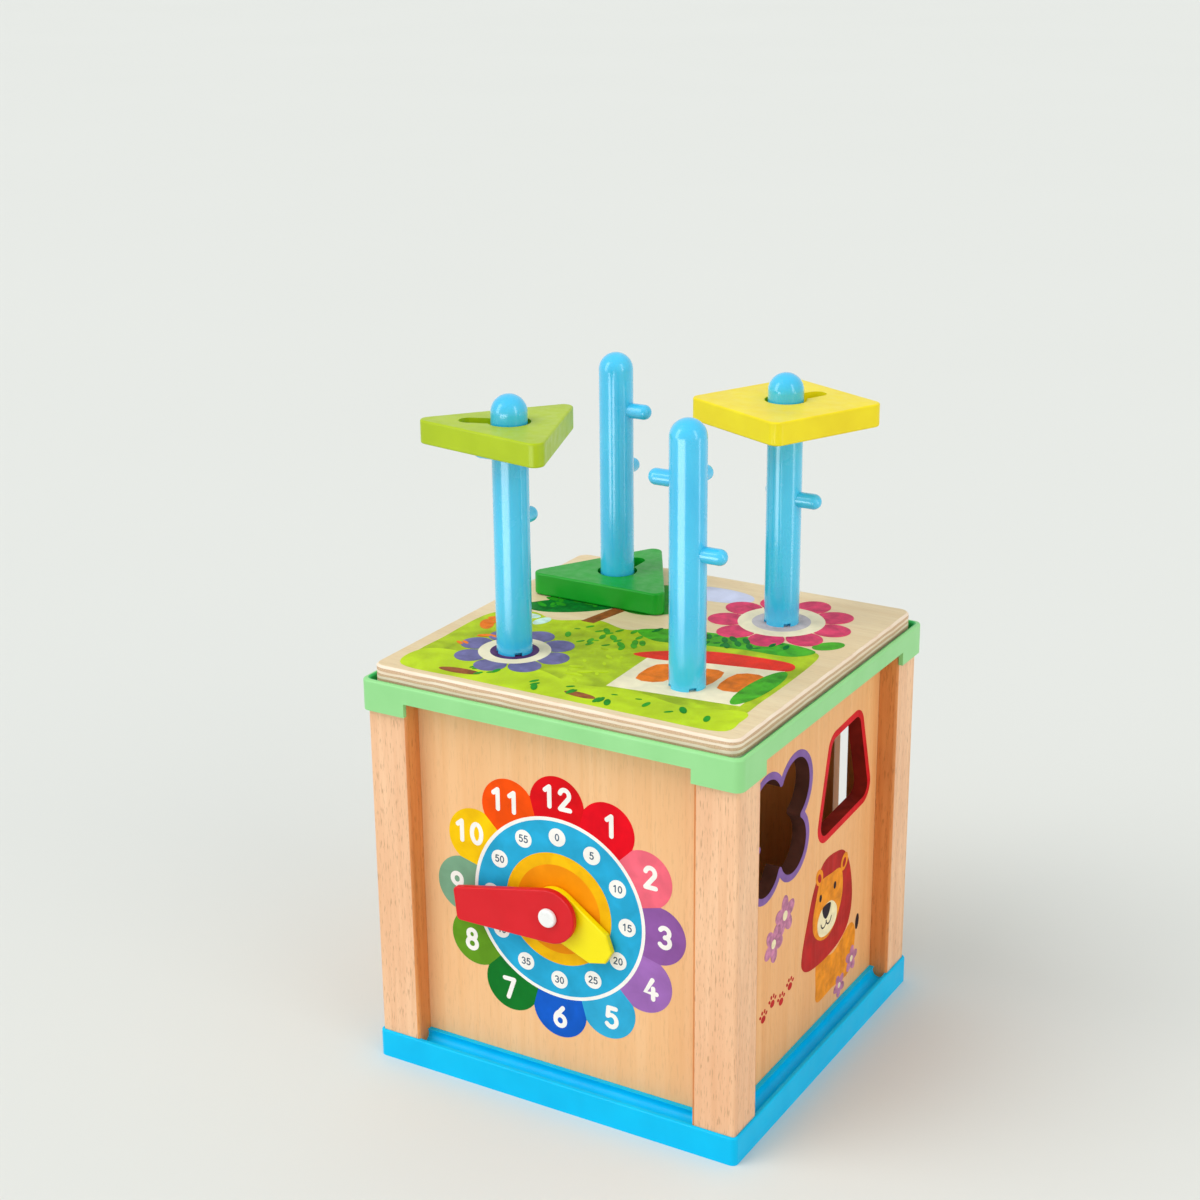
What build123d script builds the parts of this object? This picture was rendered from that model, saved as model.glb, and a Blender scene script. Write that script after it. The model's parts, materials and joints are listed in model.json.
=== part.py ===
from build123d import *
import math
import os

# A wooden activity cube: plastic base tray and top frame, four corner posts, four
# plywood panels, a clock with two hands, two track sliders, and a lift-off lid
# board with four pegs that hold keyhole shapes.
# Millimetres. Origin at the centre of the underside of the base, +Z up. The clock
# faces -Y and the sorting panel faces +X.

os.makedirs("parts", exist_ok=True)

# Driving dimensions
FRAME_WIDTH = 168.0
BOX_HEIGHT = 169.0
LIP_WALL = 2.4
RECESS_DEPTH = 5.5
SKIRT_HEIGHT = 7.2
CAP_HEIGHT = 13.0
CAP_LENGTH = 20.5
CAP_WALL = 1.9
OPENING_WIDTH = 125.0
OPENING_RADIUS = 6.0
HOOK_LENGTH = 19.0
HOOK_HEIGHT = 4.5
HOOK_SPACING = 42.0
PIP_HEIGHT = 1.0
PIP_RADIUS = 2.2
PIP_OFFSET = 7.0
FRAME_CORNER = 3.5
RECESS_CORNER = 2.5
CAP_INNER_CORNER = 1.3
FRAME_EDGE = 1.0
HOOK_THICKNESS = 2.2
HOOK_ROOT = 0.6
HOOK_EDGE = 0.9

BASE_WIDTH = 166.4
BASE_HEIGHT = 12.0
FLOOR_THICKNESS = 3.0
BASE_INNER = 66.0
INNER_WALL_HEIGHT = 10.0
SILL_HEIGHT = 14.0
SILL_OUTER = 76.2
COVE_RADIUS = 2.8
COVE_CENTRE = 78.6
COVE_LIFT = 0.2
BASE_CORNER = 2.5
BASE_EDGE = 0.8
INNER_WALL = 2.5

POST_SIZE = 18.5
POST_OUTER = 82.0
POST_FOOT = 4.0
POST_INNER_ROUND = 4.0
POST_EDGE_ROUND = 1.2

PANEL_THICKNESS = 6.0
PANEL_FACE = 74.0
PANEL_FOOT = 5.0
GROOVE_DEPTH = 3.0
SLACK = 0.1
OVERRUN = 1.0

BUTTERFLY_PLACE = (29.5, 118.3)
BUTTERFLY_WAIST = (18.0, 20.0)
UPPER_WING_PLACE = (12.4, 11.2)
UPPER_WING_RADIUS = 13.1
LOWER_WING_PLACE = (11.8, -12.6)
LOWER_WING_RADIUS = 11.6
BUTTERFLY_SOFTENING = 1.5
LEANING_PLACE = (-31.0, 117.5)
LEANING_CORNERS = [(-24.6, -20.4), (-13.8, 20.0), (13.0, 21.9), (24.6, -17.3)]
LEANING_RADIUS = 5.0
CROWN_PLACE = (25.5, 115.0)
CROWN_POINTS = [(-20, -6), (-18, 19), (-9.5, 8), (0, 23), (9.5, 8), (18, 19), (20, -6)]
CROWN_BOWL = (0, -22)
CROWN_RADIUS = 1.2

CLOCK_HEIGHT = 84.5
PIN_RADIUS = 3.0
PIN_HEAD_RADIUS = 3.9
PIN_HEAD_THICKNESS = 1.5
PIN_HEAD_EDGE = 0.9
HAND_THICKNESS = 2.8
HAND_EDGE = 0.6
HAND_BORE_CLEARANCE = 0.08
HAND_GAP = 0.3
WASHER_THICKNESS = 0.6
WASHER_RADIUS = 6.0
PIN_NUT_RADIUS = 6.5
PIN_NUT_THICKNESS = 4.5
PIN_NUT_EDGE = 1.0
PIN_PROUD = 0.5
MINUTE_HAND_REACH = 44.2
MINUTE_HAND_HUB = 11.4
MINUTE_HAND_TIP = 14.6
MINUTE_TIP_LENGTH = 6.0
MINUTE_TIP_CORNER = 2.0
MINUTE_HAND_TURN = 186.5
HOUR_HAND_REACH = 28.0
HOUR_HAND_HUB = 10.4
HOUR_TIP_OUTLINE = [(-11.5, 8), (-5.5, 8), (0, 3), (0, -3), (-5.5, -8), (-11.5, -8)]
HOUR_HAND_TURN = -29.0

LID_WIDTH = 161.0
LID_THICKNESS = 10.0
LID_CORNER = 5.0
LID_EDGE = 0.8
PEG_RADIUS = 7.2
PEG_LENGTH = 105.0
PEG_X = 39.0
PEG_Y = 41.0
KNOB_RADIUS = 3.2
KNOB_REACH = 16.5
LOW_KNOBS = 53.5
HIGH_KNOBS = 81.0
PEG_NOTCH_WIDTH = 3.0
PEG_NOTCH_HEIGHT = 1.6
PEG_NOTCH_DEPTH = 2.0

SHAPE_THICKNESS = 9.5
TRIANGLE_SIDE = 68.0
SQUARE_SIDE = 55.0
SHAPE_CORNER = 4.0
SHAPE_EDGE = 0.8
KEYHOLE_RADIUS = 8.5
KEYHOLE_SLOT = 8.0
KEYHOLE_REACH = 20.0
SHAPE_GAP = 0.3

TRACK_WIDTH = 6.2
TRACK_TOP = 143.4
TRACK_SPAN = 33.5
TRACK_SHORT_FOOT = 107.5
TRACK_LONG_FOOT = 66.0
TRACK_LEFT_X = -43.0
TRACK_RIGHT_X = 22.0
TRACK_SMALL_BEND = 5.0
TRACK_LARGE_BEND = 14.0
SLIDER_PIN_RADIUS = 2.7
SLIDER_PIN_INSIDE = 3.0
SLIDER_PIN_OUTSIDE = 4.0
SLIDER_NUT_RADIUS = 9.6
SLIDER_NUT_THICKNESS = 4.0
SLIDER_NUT_EDGE = 1.0
SLIDER_BOSS_RADIUS = 5.6
SLIDER_BOSS_THICKNESS = 2.0
SLIDER_BOSS_EDGE = 0.8
SLIDER_KNOB_RADIUS = 9.5
SLIDER_KNOB_THICKNESS = 8.5
SLIDER_KNOB_EDGE = 3.5

SCREW_RADIUS = 1.6
SCREW_CLEARANCE = 0.05
SCREW_LENGTH = 16.0
SCREW_HEAD_RADIUS = 3.2
SCREW_TIP_LENGTH = 4.0
SCREW_TIP_RADIUS = 0.3
CROSS_LENGTH = 3.6
CROSS_WIDTH = 0.8

# Levels and places worked out from the driving dimensions
HALF_FRAME = FRAME_WIDTH / 2
LEDGE_TOP = BOX_HEIGHT - RECESS_DEPTH
SKIRT_FOOT = BOX_HEIGHT - SKIRT_HEIGHT
CAP_FOOT = BOX_HEIGHT - CAP_HEIGHT
POST_CENTRE = POST_OUTER - POST_SIZE / 2
POST_INNER = POST_OUTER - POST_SIZE
PANEL_CENTRE = PANEL_FACE - PANEL_THICKNESS / 2
PANEL_BACK = PANEL_FACE - PANEL_THICKNESS
PANEL_HALF = POST_INNER + GROOVE_DEPTH - SLACK
LID_FOOT = LEDGE_TOP + PIP_HEIGHT
LID_TOP = LID_FOOT + LID_THICKNESS
PEG_ANGLES = {
    "front_left": ([90], [0, 180]),
    "front_right": ([0], [90, 180]),
    "back_left": ([90], [0]),
    "back_right": ([0, 135], [45, 180]),
}
PEG_PLACES = {
    "front_left": (-PEG_X, -PEG_Y),
    "front_right": (PEG_X, -PEG_Y),
    "back_left": (-PEG_X, PEG_Y),
    "back_right": (PEG_X, PEG_Y),
}
CORNERS = [(-1, -1), (1, -1), (-1, 1), (1, 1)]
QUARTER_TURNS = [0, 90, 180, 270]


def prism(outline, foot, top):
    """A flat outline raised from one level to another."""
    return Pos(0, 0, foot) * extrude(outline, top - foot)


def block(x_range, y_range, z_range):
    """A box between two limits along each axis."""
    size = [high - low for low, high in (x_range, y_range, z_range)]
    middle = [(high + low) / 2 for low, high in (x_range, y_range, z_range)]
    return Pos(*middle) * Box(*size)


def rod(radius, foot, top):
    """An upright round bar between two levels."""
    return Pos(0, 0, (foot + top) / 2) * Cylinder(radius, top - foot)


def along_y(radius, start, end):
    """A round bar that lies along Y."""
    return Pos(0, (start + end) / 2, 0) * Rot(90, 0, 0) * Cylinder(radius, end - start)


def edges_at(solid, level):
    """The edges of a solid that lie in one horizontal plane."""
    return [e for e in solid.edges() if all(abs(v.Z - level) < 1e-4 for v in e.vertices())]


def save(solid, node):
    solid.label = node
    export_step(solid, f"parts/{node}.step")


# Box: base tray, posts, panels and top frame

def base_tray():
    """Blue plastic tray: rim, cove between the posts, sill under the panels, sockets."""
    tray = prism(RectangleRounded(BASE_WIDTH, BASE_WIDTH, BASE_CORNER), 0, BASE_HEIGHT)
    tray = fillet(edges_at(tray, BASE_HEIGHT), BASE_EDGE)
    run = POST_INNER - SLACK
    for turn in QUARTER_TURNS:
        sill = block((-run, run), (PANEL_FACE, SILL_OUTER), (BASE_HEIGHT - OVERRUN, SILL_HEIGHT))
        cove = Rot(0, 90, 0) * Cylinder(COVE_RADIUS, 2 * run)
        cove = Pos(0, COVE_CENTRE, BASE_HEIGHT + COVE_LIFT) * cove
        channel = block(
            (-PANEL_HALF - SLACK, PANEL_HALF + SLACK),
            (PANEL_BACK - SLACK, PANEL_FACE + SLACK),
            (PANEL_FOOT, SILL_HEIGHT + OVERRUN),
        )
        tray = tray + Rot(0, 0, turn) * sill
        tray = tray - Rot(0, 0, turn) * cove - Rot(0, 0, turn) * channel
    well = prism(Rectangle(2 * BASE_INNER, 2 * BASE_INNER), FLOOR_THICKNESS, BASE_HEIGHT + OVERRUN)
    inner = BASE_INNER + INNER_WALL
    lowered = prism(Rectangle(2 * inner, 2 * inner), INNER_WALL_HEIGHT, SILL_HEIGHT + OVERRUN)
    tray = tray - well - lowered
    side = POST_SIZE + 2 * SLACK
    for sx, sy in CORNERS:
        centre = Pos(sx * POST_CENTRE, sy * POST_CENTRE, 0)
        socket = prism(RectangleRounded(side, side, POST_EDGE_ROUND), POST_FOOT, SILL_HEIGHT + OVERRUN)
        tray = tray - centre * socket
        tray = tray - centre * screw_hole(0, 1)
    return tray


def screw_hole(level, direction):
    """Clearance for a countersunk screw whose head is flush with a level."""
    head = SCREW_HEAD_RADIUS + SCREW_CLEARANCE
    shaft = SCREW_RADIUS + SCREW_CLEARANCE
    depth = head - shaft
    cone = Cone(head, shaft, depth)
    length = SCREW_LENGTH + OVERRUN
    hole = Pos(0, 0, depth / 2) * cone + Pos(0, 0, length / 2) * Cylinder(shaft, length)
    if direction < 0:
        hole = Rot(180, 0, 0) * hole
    return Pos(0, 0, level) * hole


def screw(level, direction):
    """A countersunk wood screw with a cross recess, head flush with a level."""
    depth = SCREW_HEAD_RADIUS - SCREW_RADIUS
    body = Pos(0, 0, depth / 2) * Cone(SCREW_HEAD_RADIUS, SCREW_RADIUS, depth)
    shank_top = SCREW_LENGTH - SCREW_TIP_LENGTH
    body = body + Pos(0, 0, shank_top / 2) * Cylinder(SCREW_RADIUS, shank_top)
    tip = Cone(SCREW_RADIUS, SCREW_TIP_RADIUS, SCREW_TIP_LENGTH)
    body = body + Pos(0, 0, shank_top + SCREW_TIP_LENGTH / 2) * tip
    for turn in (0, 90):
        bar = Pos(0, 0, CROSS_WIDTH / 2) * Box(CROSS_LENGTH, CROSS_WIDTH, CROSS_WIDTH)
        body = body - Rot(0, 0, turn) * bar
    if direction < 0:
        body = Rot(180, 0, 0) * body
    return Pos(0, 0, level) * body


def corner_post():
    """A square wooden post for the +X +Y corner, grooved for two panels."""
    post = prism(Rectangle(POST_SIZE, POST_SIZE), POST_FOOT, SKIRT_FOOT)
    post = Pos(POST_CENTRE, POST_CENTRE, 0) * post
    uprights = post.edges().filter_by(Axis.Z)
    inner = [e for e in uprights if (e @ 0.5).X < POST_CENTRE and (e @ 0.5).Y < POST_CENTRE]
    post = fillet(inner, POST_INNER_ROUND)
    uprights = post.edges().filter_by(Axis.Z)
    outer = [e for e in uprights if max((e @ 0.5).X, (e @ 0.5).Y) > POST_OUTER - 0.01]
    post = fillet(outer, POST_EDGE_ROUND)
    reach = POST_INNER + GROOVE_DEPTH
    slot_range = (PANEL_BACK - SLACK, PANEL_FACE + SLACK)
    span = (POST_INNER - OVERRUN, reach)
    levels = (POST_FOOT - OVERRUN, SKIRT_FOOT + OVERRUN)
    post = post - block(span, slot_range, levels) - block(slot_range, span, levels)
    holes = screw_hole(0, 1) + screw_hole(LEDGE_TOP, -1)
    return post - Pos(POST_CENTRE, POST_CENTRE, 0) * holes


def place_post(post, sx, sy):
    turns = {(1, 1): 0, (-1, 1): 90, (-1, -1): 180, (1, -1): 270}
    return Rot(0, 0, turns[(sx, sy)]) * post


def panel_blank():
    """A plywood panel for the side that faces +Y."""
    return block((-PANEL_HALF, PANEL_HALF), (PANEL_BACK, PANEL_FACE), (PANEL_FOOT, SKIRT_FOOT))


def cut_through(outline, place=(0.0, 0.0)):
    """An outline drawn in X and Z, made into a cutter across the +Y panel at a place."""
    cutter = extrude(outline, 2 * PANEL_THICKNESS, both=True)
    aside, level = place
    return Pos(aside, PANEL_CENTRE, level) * Rot(90, 0, 0) * cutter


def clock_panel():
    """Front panel, faces -Y, bored for the clock pin."""
    bore = cut_through(Circle(PIN_RADIUS + SCREW_CLEARANCE), (0.0, CLOCK_HEIGHT))
    return Rot(0, 0, 180) * (panel_blank() - bore)


def butterfly_outline():
    """Four round wings with softened notches between them."""
    wings = Rectangle(*BUTTERFLY_WAIST)
    for side in (-1, 1):
        for (x, y), radius in (
            (UPPER_WING_PLACE, UPPER_WING_RADIUS),
            (LOWER_WING_PLACE, LOWER_WING_RADIUS),
        ):
            wings = wings + Pos(side * x, y) * Circle(radius)
    return offset(offset(wings, BUTTERFLY_SOFTENING), -BUTTERFLY_SOFTENING)


def leaning_outline():
    """A rounded four-sided hole with one leaning corner."""
    return fillet(Polygon(*LEANING_CORNERS, align=None).vertices(), LEANING_RADIUS)


def sorting_panel():
    """Right-hand panel, faces +X, with the butterfly and the four-sided hole."""
    butterfly = cut_through(butterfly_outline(), BUTTERFLY_PLACE)
    leaning = cut_through(mirror(leaning_outline(), Plane.YZ), LEANING_PLACE)
    return Rot(0, 0, -90) * (panel_blank() - butterfly - leaning)


def crown_outline():
    """A tulip hole: rounded bowl below, three points above."""
    rim = Polyline(*CROWN_POINTS)
    bowl = ThreePointArc(CROWN_POINTS[-1], CROWN_BOWL, CROWN_POINTS[0])
    outline = make_face([*rim.edges(), bowl])
    return fillet(outline.vertices(), CROWN_RADIUS)


def crown_panel():
    """Left-hand panel, faces -X, with the three-pointed hole."""
    crown = cut_through(crown_outline(), CROWN_PLACE)
    return Rot(0, 0, 90) * (panel_blank() - crown)


def track_outline(foot_x):
    """A hooked slot: short leg, tight bend, wide bend, long leg, round ends."""
    path = FilletPolyline(
        (foot_x, TRACK_SHORT_FOOT),
        (foot_x, TRACK_TOP),
        (foot_x + TRACK_SPAN, TRACK_TOP),
        (foot_x + TRACK_SPAN, TRACK_LONG_FOOT),
        radius=[TRACK_SMALL_BEND, TRACK_LARGE_BEND],
    )
    slot = trace(path, TRACK_WIDTH)
    slot = slot + Pos(foot_x, TRACK_SHORT_FOOT) * Circle(TRACK_WIDTH / 2)
    return slot + Pos(foot_x + TRACK_SPAN, TRACK_LONG_FOOT) * Circle(TRACK_WIDTH / 2)


def track_panel():
    """Back panel, faces +Y, with the two slider tracks."""
    panel = panel_blank()
    for foot_x in (TRACK_LEFT_X, TRACK_RIGHT_X):
        panel = panel - cut_through(track_outline(foot_x))
    return panel


def top_frame():
    """Green plastic frame: lip, lid recess, opening, skirt, corner caps and hooks."""
    frame = prism(RectangleRounded(FRAME_WIDTH, FRAME_WIDTH, FRAME_CORNER), SKIRT_FOOT, BOX_HEIGHT)
    recess = FRAME_WIDTH - 2 * LIP_WALL
    hollow = prism(RectangleRounded(recess, recess, RECESS_CORNER), LEDGE_TOP, BOX_HEIGHT + OVERRUN)
    opening = RectangleRounded(OPENING_WIDTH, OPENING_WIDTH, OPENING_RADIUS)
    frame = frame - hollow - prism(opening, SKIRT_FOOT - OVERRUN, BOX_HEIGHT + OVERRUN)
    frame = fillet(edges_at(frame, BOX_HEIGHT), FRAME_EDGE)
    frame = frame + corner_caps() + opening_hooks()
    for sx, sy in CORNERS:
        pip = rod(PIP_RADIUS, LEDGE_TOP - PIP_HEIGHT / 2, LID_FOOT)
        pip = Pos(sx * (POST_CENTRE - PIP_OFFSET), sy * POST_CENTRE, 0) * pip
        hole = Pos(sx * POST_CENTRE, sy * POST_CENTRE, 0) * screw_hole(LEDGE_TOP, -1)
        frame = frame + pip - hole
    return frame


def corner_caps():
    """The four angled skirts that cover the posts' tops."""
    shell = prism(RectangleRounded(FRAME_WIDTH, FRAME_WIDTH, FRAME_CORNER), CAP_FOOT, SKIRT_FOOT + OVERRUN)
    width = FRAME_WIDTH - 2 * CAP_WALL
    inside = RectangleRounded(width, width, CAP_INNER_CORNER)
    shell = shell - prism(inside, CAP_FOOT - OVERRUN, SKIRT_FOOT)
    corner = prism(Rectangle(CAP_LENGTH, CAP_LENGTH), CAP_FOOT, SKIRT_FOOT + OVERRUN)
    middle = HALF_FRAME - CAP_LENGTH / 2
    corners = [Pos(sx * middle, sy * middle, 0) * corner for sx, sy in CORNERS]
    return shell & Part() + corners


def opening_hooks():
    """Twelve small lugs that hang from the opening and grip the panels."""
    lug = block((-HOOK_LENGTH / 2, HOOK_LENGTH / 2), (0, HOOK_THICKNESS), (-HOOK_HEIGHT, HOOK_ROOT))
    lug = fillet(edges_at(lug, -HOOK_HEIGHT), HOOK_EDGE)
    hooks = Part()
    for turn in QUARTER_TURNS:
        for step in (-1, 0, 1):
            place = Pos(step * HOOK_SPACING, OPENING_WIDTH / 2, SKIRT_FOOT)
            hooks = hooks + Rot(0, 0, turn) * place * lug
    return hooks


def frame_screws():
    """Four screws down through the frame into the posts."""
    return [Pos(sx * POST_CENTRE, sy * POST_CENTRE, 0) * screw(LEDGE_TOP, -1) for sx, sy in CORNERS]


def base_screws():
    """Four screws up through the base into the posts."""
    return [Pos(sx * POST_CENTRE, sy * POST_CENTRE, 0) * screw(0, 1) for sx, sy in CORNERS]


# Clock: pin, washers, nut and hands, stacked outwards from the front panel

HOUR_BACK = PANEL_FACE + WASHER_THICKNESS + HAND_GAP
HOUR_FRONT = HOUR_BACK + HAND_THICKNESS
SPACER_BACK = HOUR_FRONT + HAND_GAP
MINUTE_BACK = SPACER_BACK + WASHER_THICKNESS + HAND_GAP
MINUTE_FRONT = MINUTE_BACK + HAND_THICKNESS
HEAD_BACK = MINUTE_FRONT + HAND_GAP
HEAD_FRONT = HEAD_BACK + PIN_HEAD_THICKNESS


def at_clock(solid):
    return Pos(0, 0, CLOCK_HEIGHT) * solid


def clock_pin():
    """A headed pin through the panel, with a low crowned head."""
    pin = along_y(PIN_RADIUS, -HEAD_BACK, -PANEL_BACK + PIN_NUT_THICKNESS)
    head = along_y(PIN_HEAD_RADIUS, -HEAD_FRONT, -HEAD_BACK)
    front = [e for e in head.edges() if abs((e @ 0).Y + HEAD_FRONT) < 1e-4]
    return at_clock(pin + fillet(front, PIN_HEAD_EDGE))


def clock_washers():
    """Two thin washers: behind the hour hand and between the hands."""
    bore = along_y(PIN_RADIUS + SCREW_CLEARANCE, -HALF_FRAME, 0)
    washers = []
    for back in (PANEL_FACE, SPACER_BACK):
        disc = along_y(WASHER_RADIUS, -back - WASHER_THICKNESS, -back)
        washers.append(at_clock(disc - bore))
    return washers


def clock_nut():
    """The push-on nut behind the panel."""
    end = -PANEL_BACK + PIN_NUT_THICKNESS - PIN_PROUD
    nut = along_y(PIN_NUT_RADIUS, -PANEL_BACK, end)
    bore = along_y(PIN_RADIUS + SCREW_CLEARANCE, -PANEL_FACE, 0)
    inner = [e for e in nut.edges() if abs((e @ 0).Y - end) < 1e-4]
    return at_clock(fillet(inner, PIN_NUT_EDGE) - bore)


def clock_hand(outline, back, turn):
    """A flat hand with eased edges and a running fit on the pin."""
    hand = extrude(outline, HAND_THICKNESS)
    hand = fillet(edges_at(hand, 0) + edges_at(hand, HAND_THICKNESS), HAND_EDGE)
    hand = hand - rod(PIN_RADIUS + HAND_BORE_CLEARANCE, -OVERRUN, HAND_THICKNESS + OVERRUN)
    upright = Pos(0, -back, 0) * Rot(90, 0, 0) * Rot(0, 0, turn) * hand
    return at_clock(upright)


def minute_hand():
    """The long hand: round hub tapering to a square-cut tip."""
    tip = RectangleRounded(MINUTE_TIP_LENGTH, MINUTE_HAND_TIP, MINUTE_TIP_CORNER)
    tip = Pos(MINUTE_HAND_REACH - MINUTE_TIP_LENGTH / 2, 0) * tip
    outline = make_hull([*Circle(MINUTE_HAND_HUB).edges(), *tip.edges()])
    return clock_hand(outline, MINUTE_BACK, MINUTE_HAND_TURN)


def hour_hand():
    """The short hand: round hub tapering to a blunt point."""
    tip = Pos(HOUR_HAND_REACH, 0) * Polygon(*HOUR_TIP_OUTLINE, align=None)
    outline = make_hull([*Circle(HOUR_HAND_HUB).edges(), *tip.edges()])
    return clock_hand(outline, HOUR_BACK, HOUR_HAND_TURN)


# Track sliders on the back panel

def slider_at(foot_x, solid):
    return Pos(foot_x, 0, TRACK_SHORT_FOOT) * solid


def slider_pin():
    return along_y(SLIDER_PIN_RADIUS, PANEL_BACK - SLIDER_PIN_INSIDE, PANEL_FACE + SLIDER_PIN_OUTSIDE)


def slider_nut():
    """Stepped wooden button inside the box."""
    front = PANEL_BACK - HAND_GAP
    nut = along_y(SLIDER_NUT_RADIUS, front - SLIDER_NUT_THICKNESS, front)
    rim = [e for e in nut.edges() if abs((e @ 0).Y - front + SLIDER_NUT_THICKNESS) < 1e-4]
    nut = fillet(rim, SLIDER_NUT_EDGE)
    end = front - SLIDER_NUT_THICKNESS - SLIDER_BOSS_THICKNESS
    boss = along_y(SLIDER_BOSS_RADIUS, end, front - OVERRUN)
    rim = [e for e in boss.edges() if abs((e @ 0).Y - end) < 1e-4]
    bore = along_y(SLIDER_PIN_RADIUS + SCREW_CLEARANCE, PANEL_BACK - SLIDER_PIN_INSIDE, PANEL_FACE)
    return nut + fillet(rim, SLIDER_BOSS_EDGE) - bore


def slider_knob():
    """Rounded wooden knob outside the back panel."""
    back = PANEL_FACE + HAND_GAP
    knob = along_y(SLIDER_KNOB_RADIUS, back, back + SLIDER_KNOB_THICKNESS)
    rim = [e for e in knob.edges() if abs((e @ 0).Y - back - SLIDER_KNOB_THICKNESS) < 1e-4]
    bore = along_y(SLIDER_PIN_RADIUS + SCREW_CLEARANCE, 0, PANEL_FACE + SLIDER_PIN_OUTSIDE)
    return fillet(rim, SLIDER_KNOB_EDGE) - bore


# Lid: board, pegs and their screws

def lid_board():
    """Plywood board with rounded corners, bored for the peg screws."""
    board = prism(RectangleRounded(LID_WIDTH, LID_WIDTH, LID_CORNER), LID_FOOT, LID_TOP)
    board = chamfer(edges_at(board, LID_FOOT) + edges_at(board, LID_TOP), LID_EDGE)
    for x, y in PEG_PLACES.values():
        board = board - Pos(x, y, 0) * screw_hole(LID_FOOT, 1)
    return board


def peg(low_angles, high_angles):
    """A round-tipped plastic peg with side knobs at two levels and a notched foot."""
    stem = PEG_LENGTH - PEG_RADIUS
    shape = rod(PEG_RADIUS, 0, stem) + Pos(0, 0, stem) * Sphere(PEG_RADIUS)
    for level, angles in ((LOW_KNOBS, low_angles), (HIGH_KNOBS, high_angles)):
        for angle in angles:
            shape = shape + Pos(0, 0, level) * Rot(0, 0, angle) * knob()
    for turn in (45, 135):
        notch = Box(4 * PEG_RADIUS, PEG_NOTCH_WIDTH, 2 * PEG_NOTCH_HEIGHT)
        notch = notch - Cylinder(PEG_RADIUS - PEG_NOTCH_DEPTH, 2 * PEG_NOTCH_HEIGHT)
        shape = shape - Rot(0, 0, turn) * notch
    return Pos(0, 0, LID_TOP) * shape - screw_hole(LID_FOOT, 1)


def knob():
    """A side knob along +X with a half-round end."""
    straight = KNOB_REACH - KNOB_RADIUS
    bar = Pos(straight / 2, 0, 0) * Rot(0, 90, 0) * Cylinder(KNOB_RADIUS, straight)
    return bar + Pos(straight, 0, 0) * Sphere(KNOB_RADIUS)


def peg_screws():
    """Four screws up through the board into the pegs."""
    return [Pos(x, y, 0) * screw(LID_FOOT, 1) for x, y in PEG_PLACES.values()]


# Keyhole shapes

def keyhole_shape(outline, turn, slot_turn):
    """A painted wooden shape with a keyhole: round hole and one slot."""
    keyhole = Circle(KEYHOLE_RADIUS)
    straight = KEYHOLE_REACH - KEYHOLE_SLOT / 2
    slot = Pos(straight / 2, 0) * Rectangle(straight, KEYHOLE_SLOT)
    slot = slot + Pos(straight, 0) * Circle(KEYHOLE_SLOT / 2)
    keyhole = keyhole + Rot(0, 0, slot_turn) * slot
    shape = extrude(outline, SHAPE_THICKNESS)
    rims = edges_at(shape, 0) + edges_at(shape, SHAPE_THICKNESS)
    shape = fillet(rims, SHAPE_EDGE)
    shape = shape - prism(keyhole, -OVERRUN, SHAPE_THICKNESS + OVERRUN)
    return Rot(0, 0, turn) * shape


def triangle_outline():
    """Equal-sided triangle about its centre, one corner along +X, corners rounded."""
    radius = TRIANGLE_SIDE / math.sqrt(3)
    corners = [(radius * math.cos(a), radius * math.sin(a)) for a in (0, math.tau / 3, -math.tau / 3)]
    return fillet(Polygon(*corners, align=None).vertices(), SHAPE_CORNER)


def square_outline():
    return RectangleRounded(SQUARE_SIDE, SQUARE_SIDE, SHAPE_CORNER)


def on_peg(shape, peg_name, foot):
    x, y = PEG_PLACES[peg_name]
    return Pos(x, y, LID_TOP + foot) * shape


ON_HIGH_KNOBS = HIGH_KNOBS + KNOB_RADIUS + SHAPE_GAP


def build():
    save(base_tray(), "base_tray")
    save(top_frame(), "top_frame")
    post = corner_post()
    names = {(-1, -1): "front_left", (1, -1): "front_right", (-1, 1): "back_left", (1, 1): "back_right"}
    for corner, name in names.items():
        save(place_post(post, *corner), f"post_{name}")
    save(clock_panel(), "clock_panel")
    save(sorting_panel(), "sorting_panel")
    save(crown_panel(), "crown_panel")
    save(track_panel(), "track_panel")
    save(Compound(children=frame_screws()), "frame_screws")
    save(Compound(children=base_screws()), "base_screws")

    save(clock_pin(), "clock_pin")
    save(Compound(children=clock_washers()), "clock_washers")
    save(clock_nut(), "clock_nut")
    save(hour_hand(), "hour_hand")
    save(minute_hand(), "minute_hand")

    for side, foot_x in (("left", TRACK_LEFT_X), ("right", TRACK_RIGHT_X)):
        save(slider_at(foot_x, slider_pin()), f"{side}_slider_pin")
        save(slider_at(foot_x, slider_nut()), f"{side}_slider_nut")
        save(slider_at(foot_x, slider_knob()), f"{side}_slider_knob")

    save(lid_board(), "lid_board")
    save(Compound(children=peg_screws()), "peg_screws")
    for name, (x, y) in PEG_PLACES.items():
        save(Pos(x, y, 0) * peg(*PEG_ANGLES[name]), f"peg_{name}")

    green = keyhole_shape(triangle_outline(), 90, 0)
    lime = keyhole_shape(triangle_outline(), 200, 0)
    yellow = keyhole_shape(square_outline(), -25, 90)
    save(on_peg(green, "back_left", SHAPE_GAP), "green_triangle")
    save(on_peg(lime, "front_left", ON_HIGH_KNOBS), "lime_triangle")
    save(on_peg(yellow, "back_right", ON_HIGH_KNOBS), "yellow_square")


build()
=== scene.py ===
import json
import math
import bmesh
import bpy
from mathutils import Matrix, Vector, geometry

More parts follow.
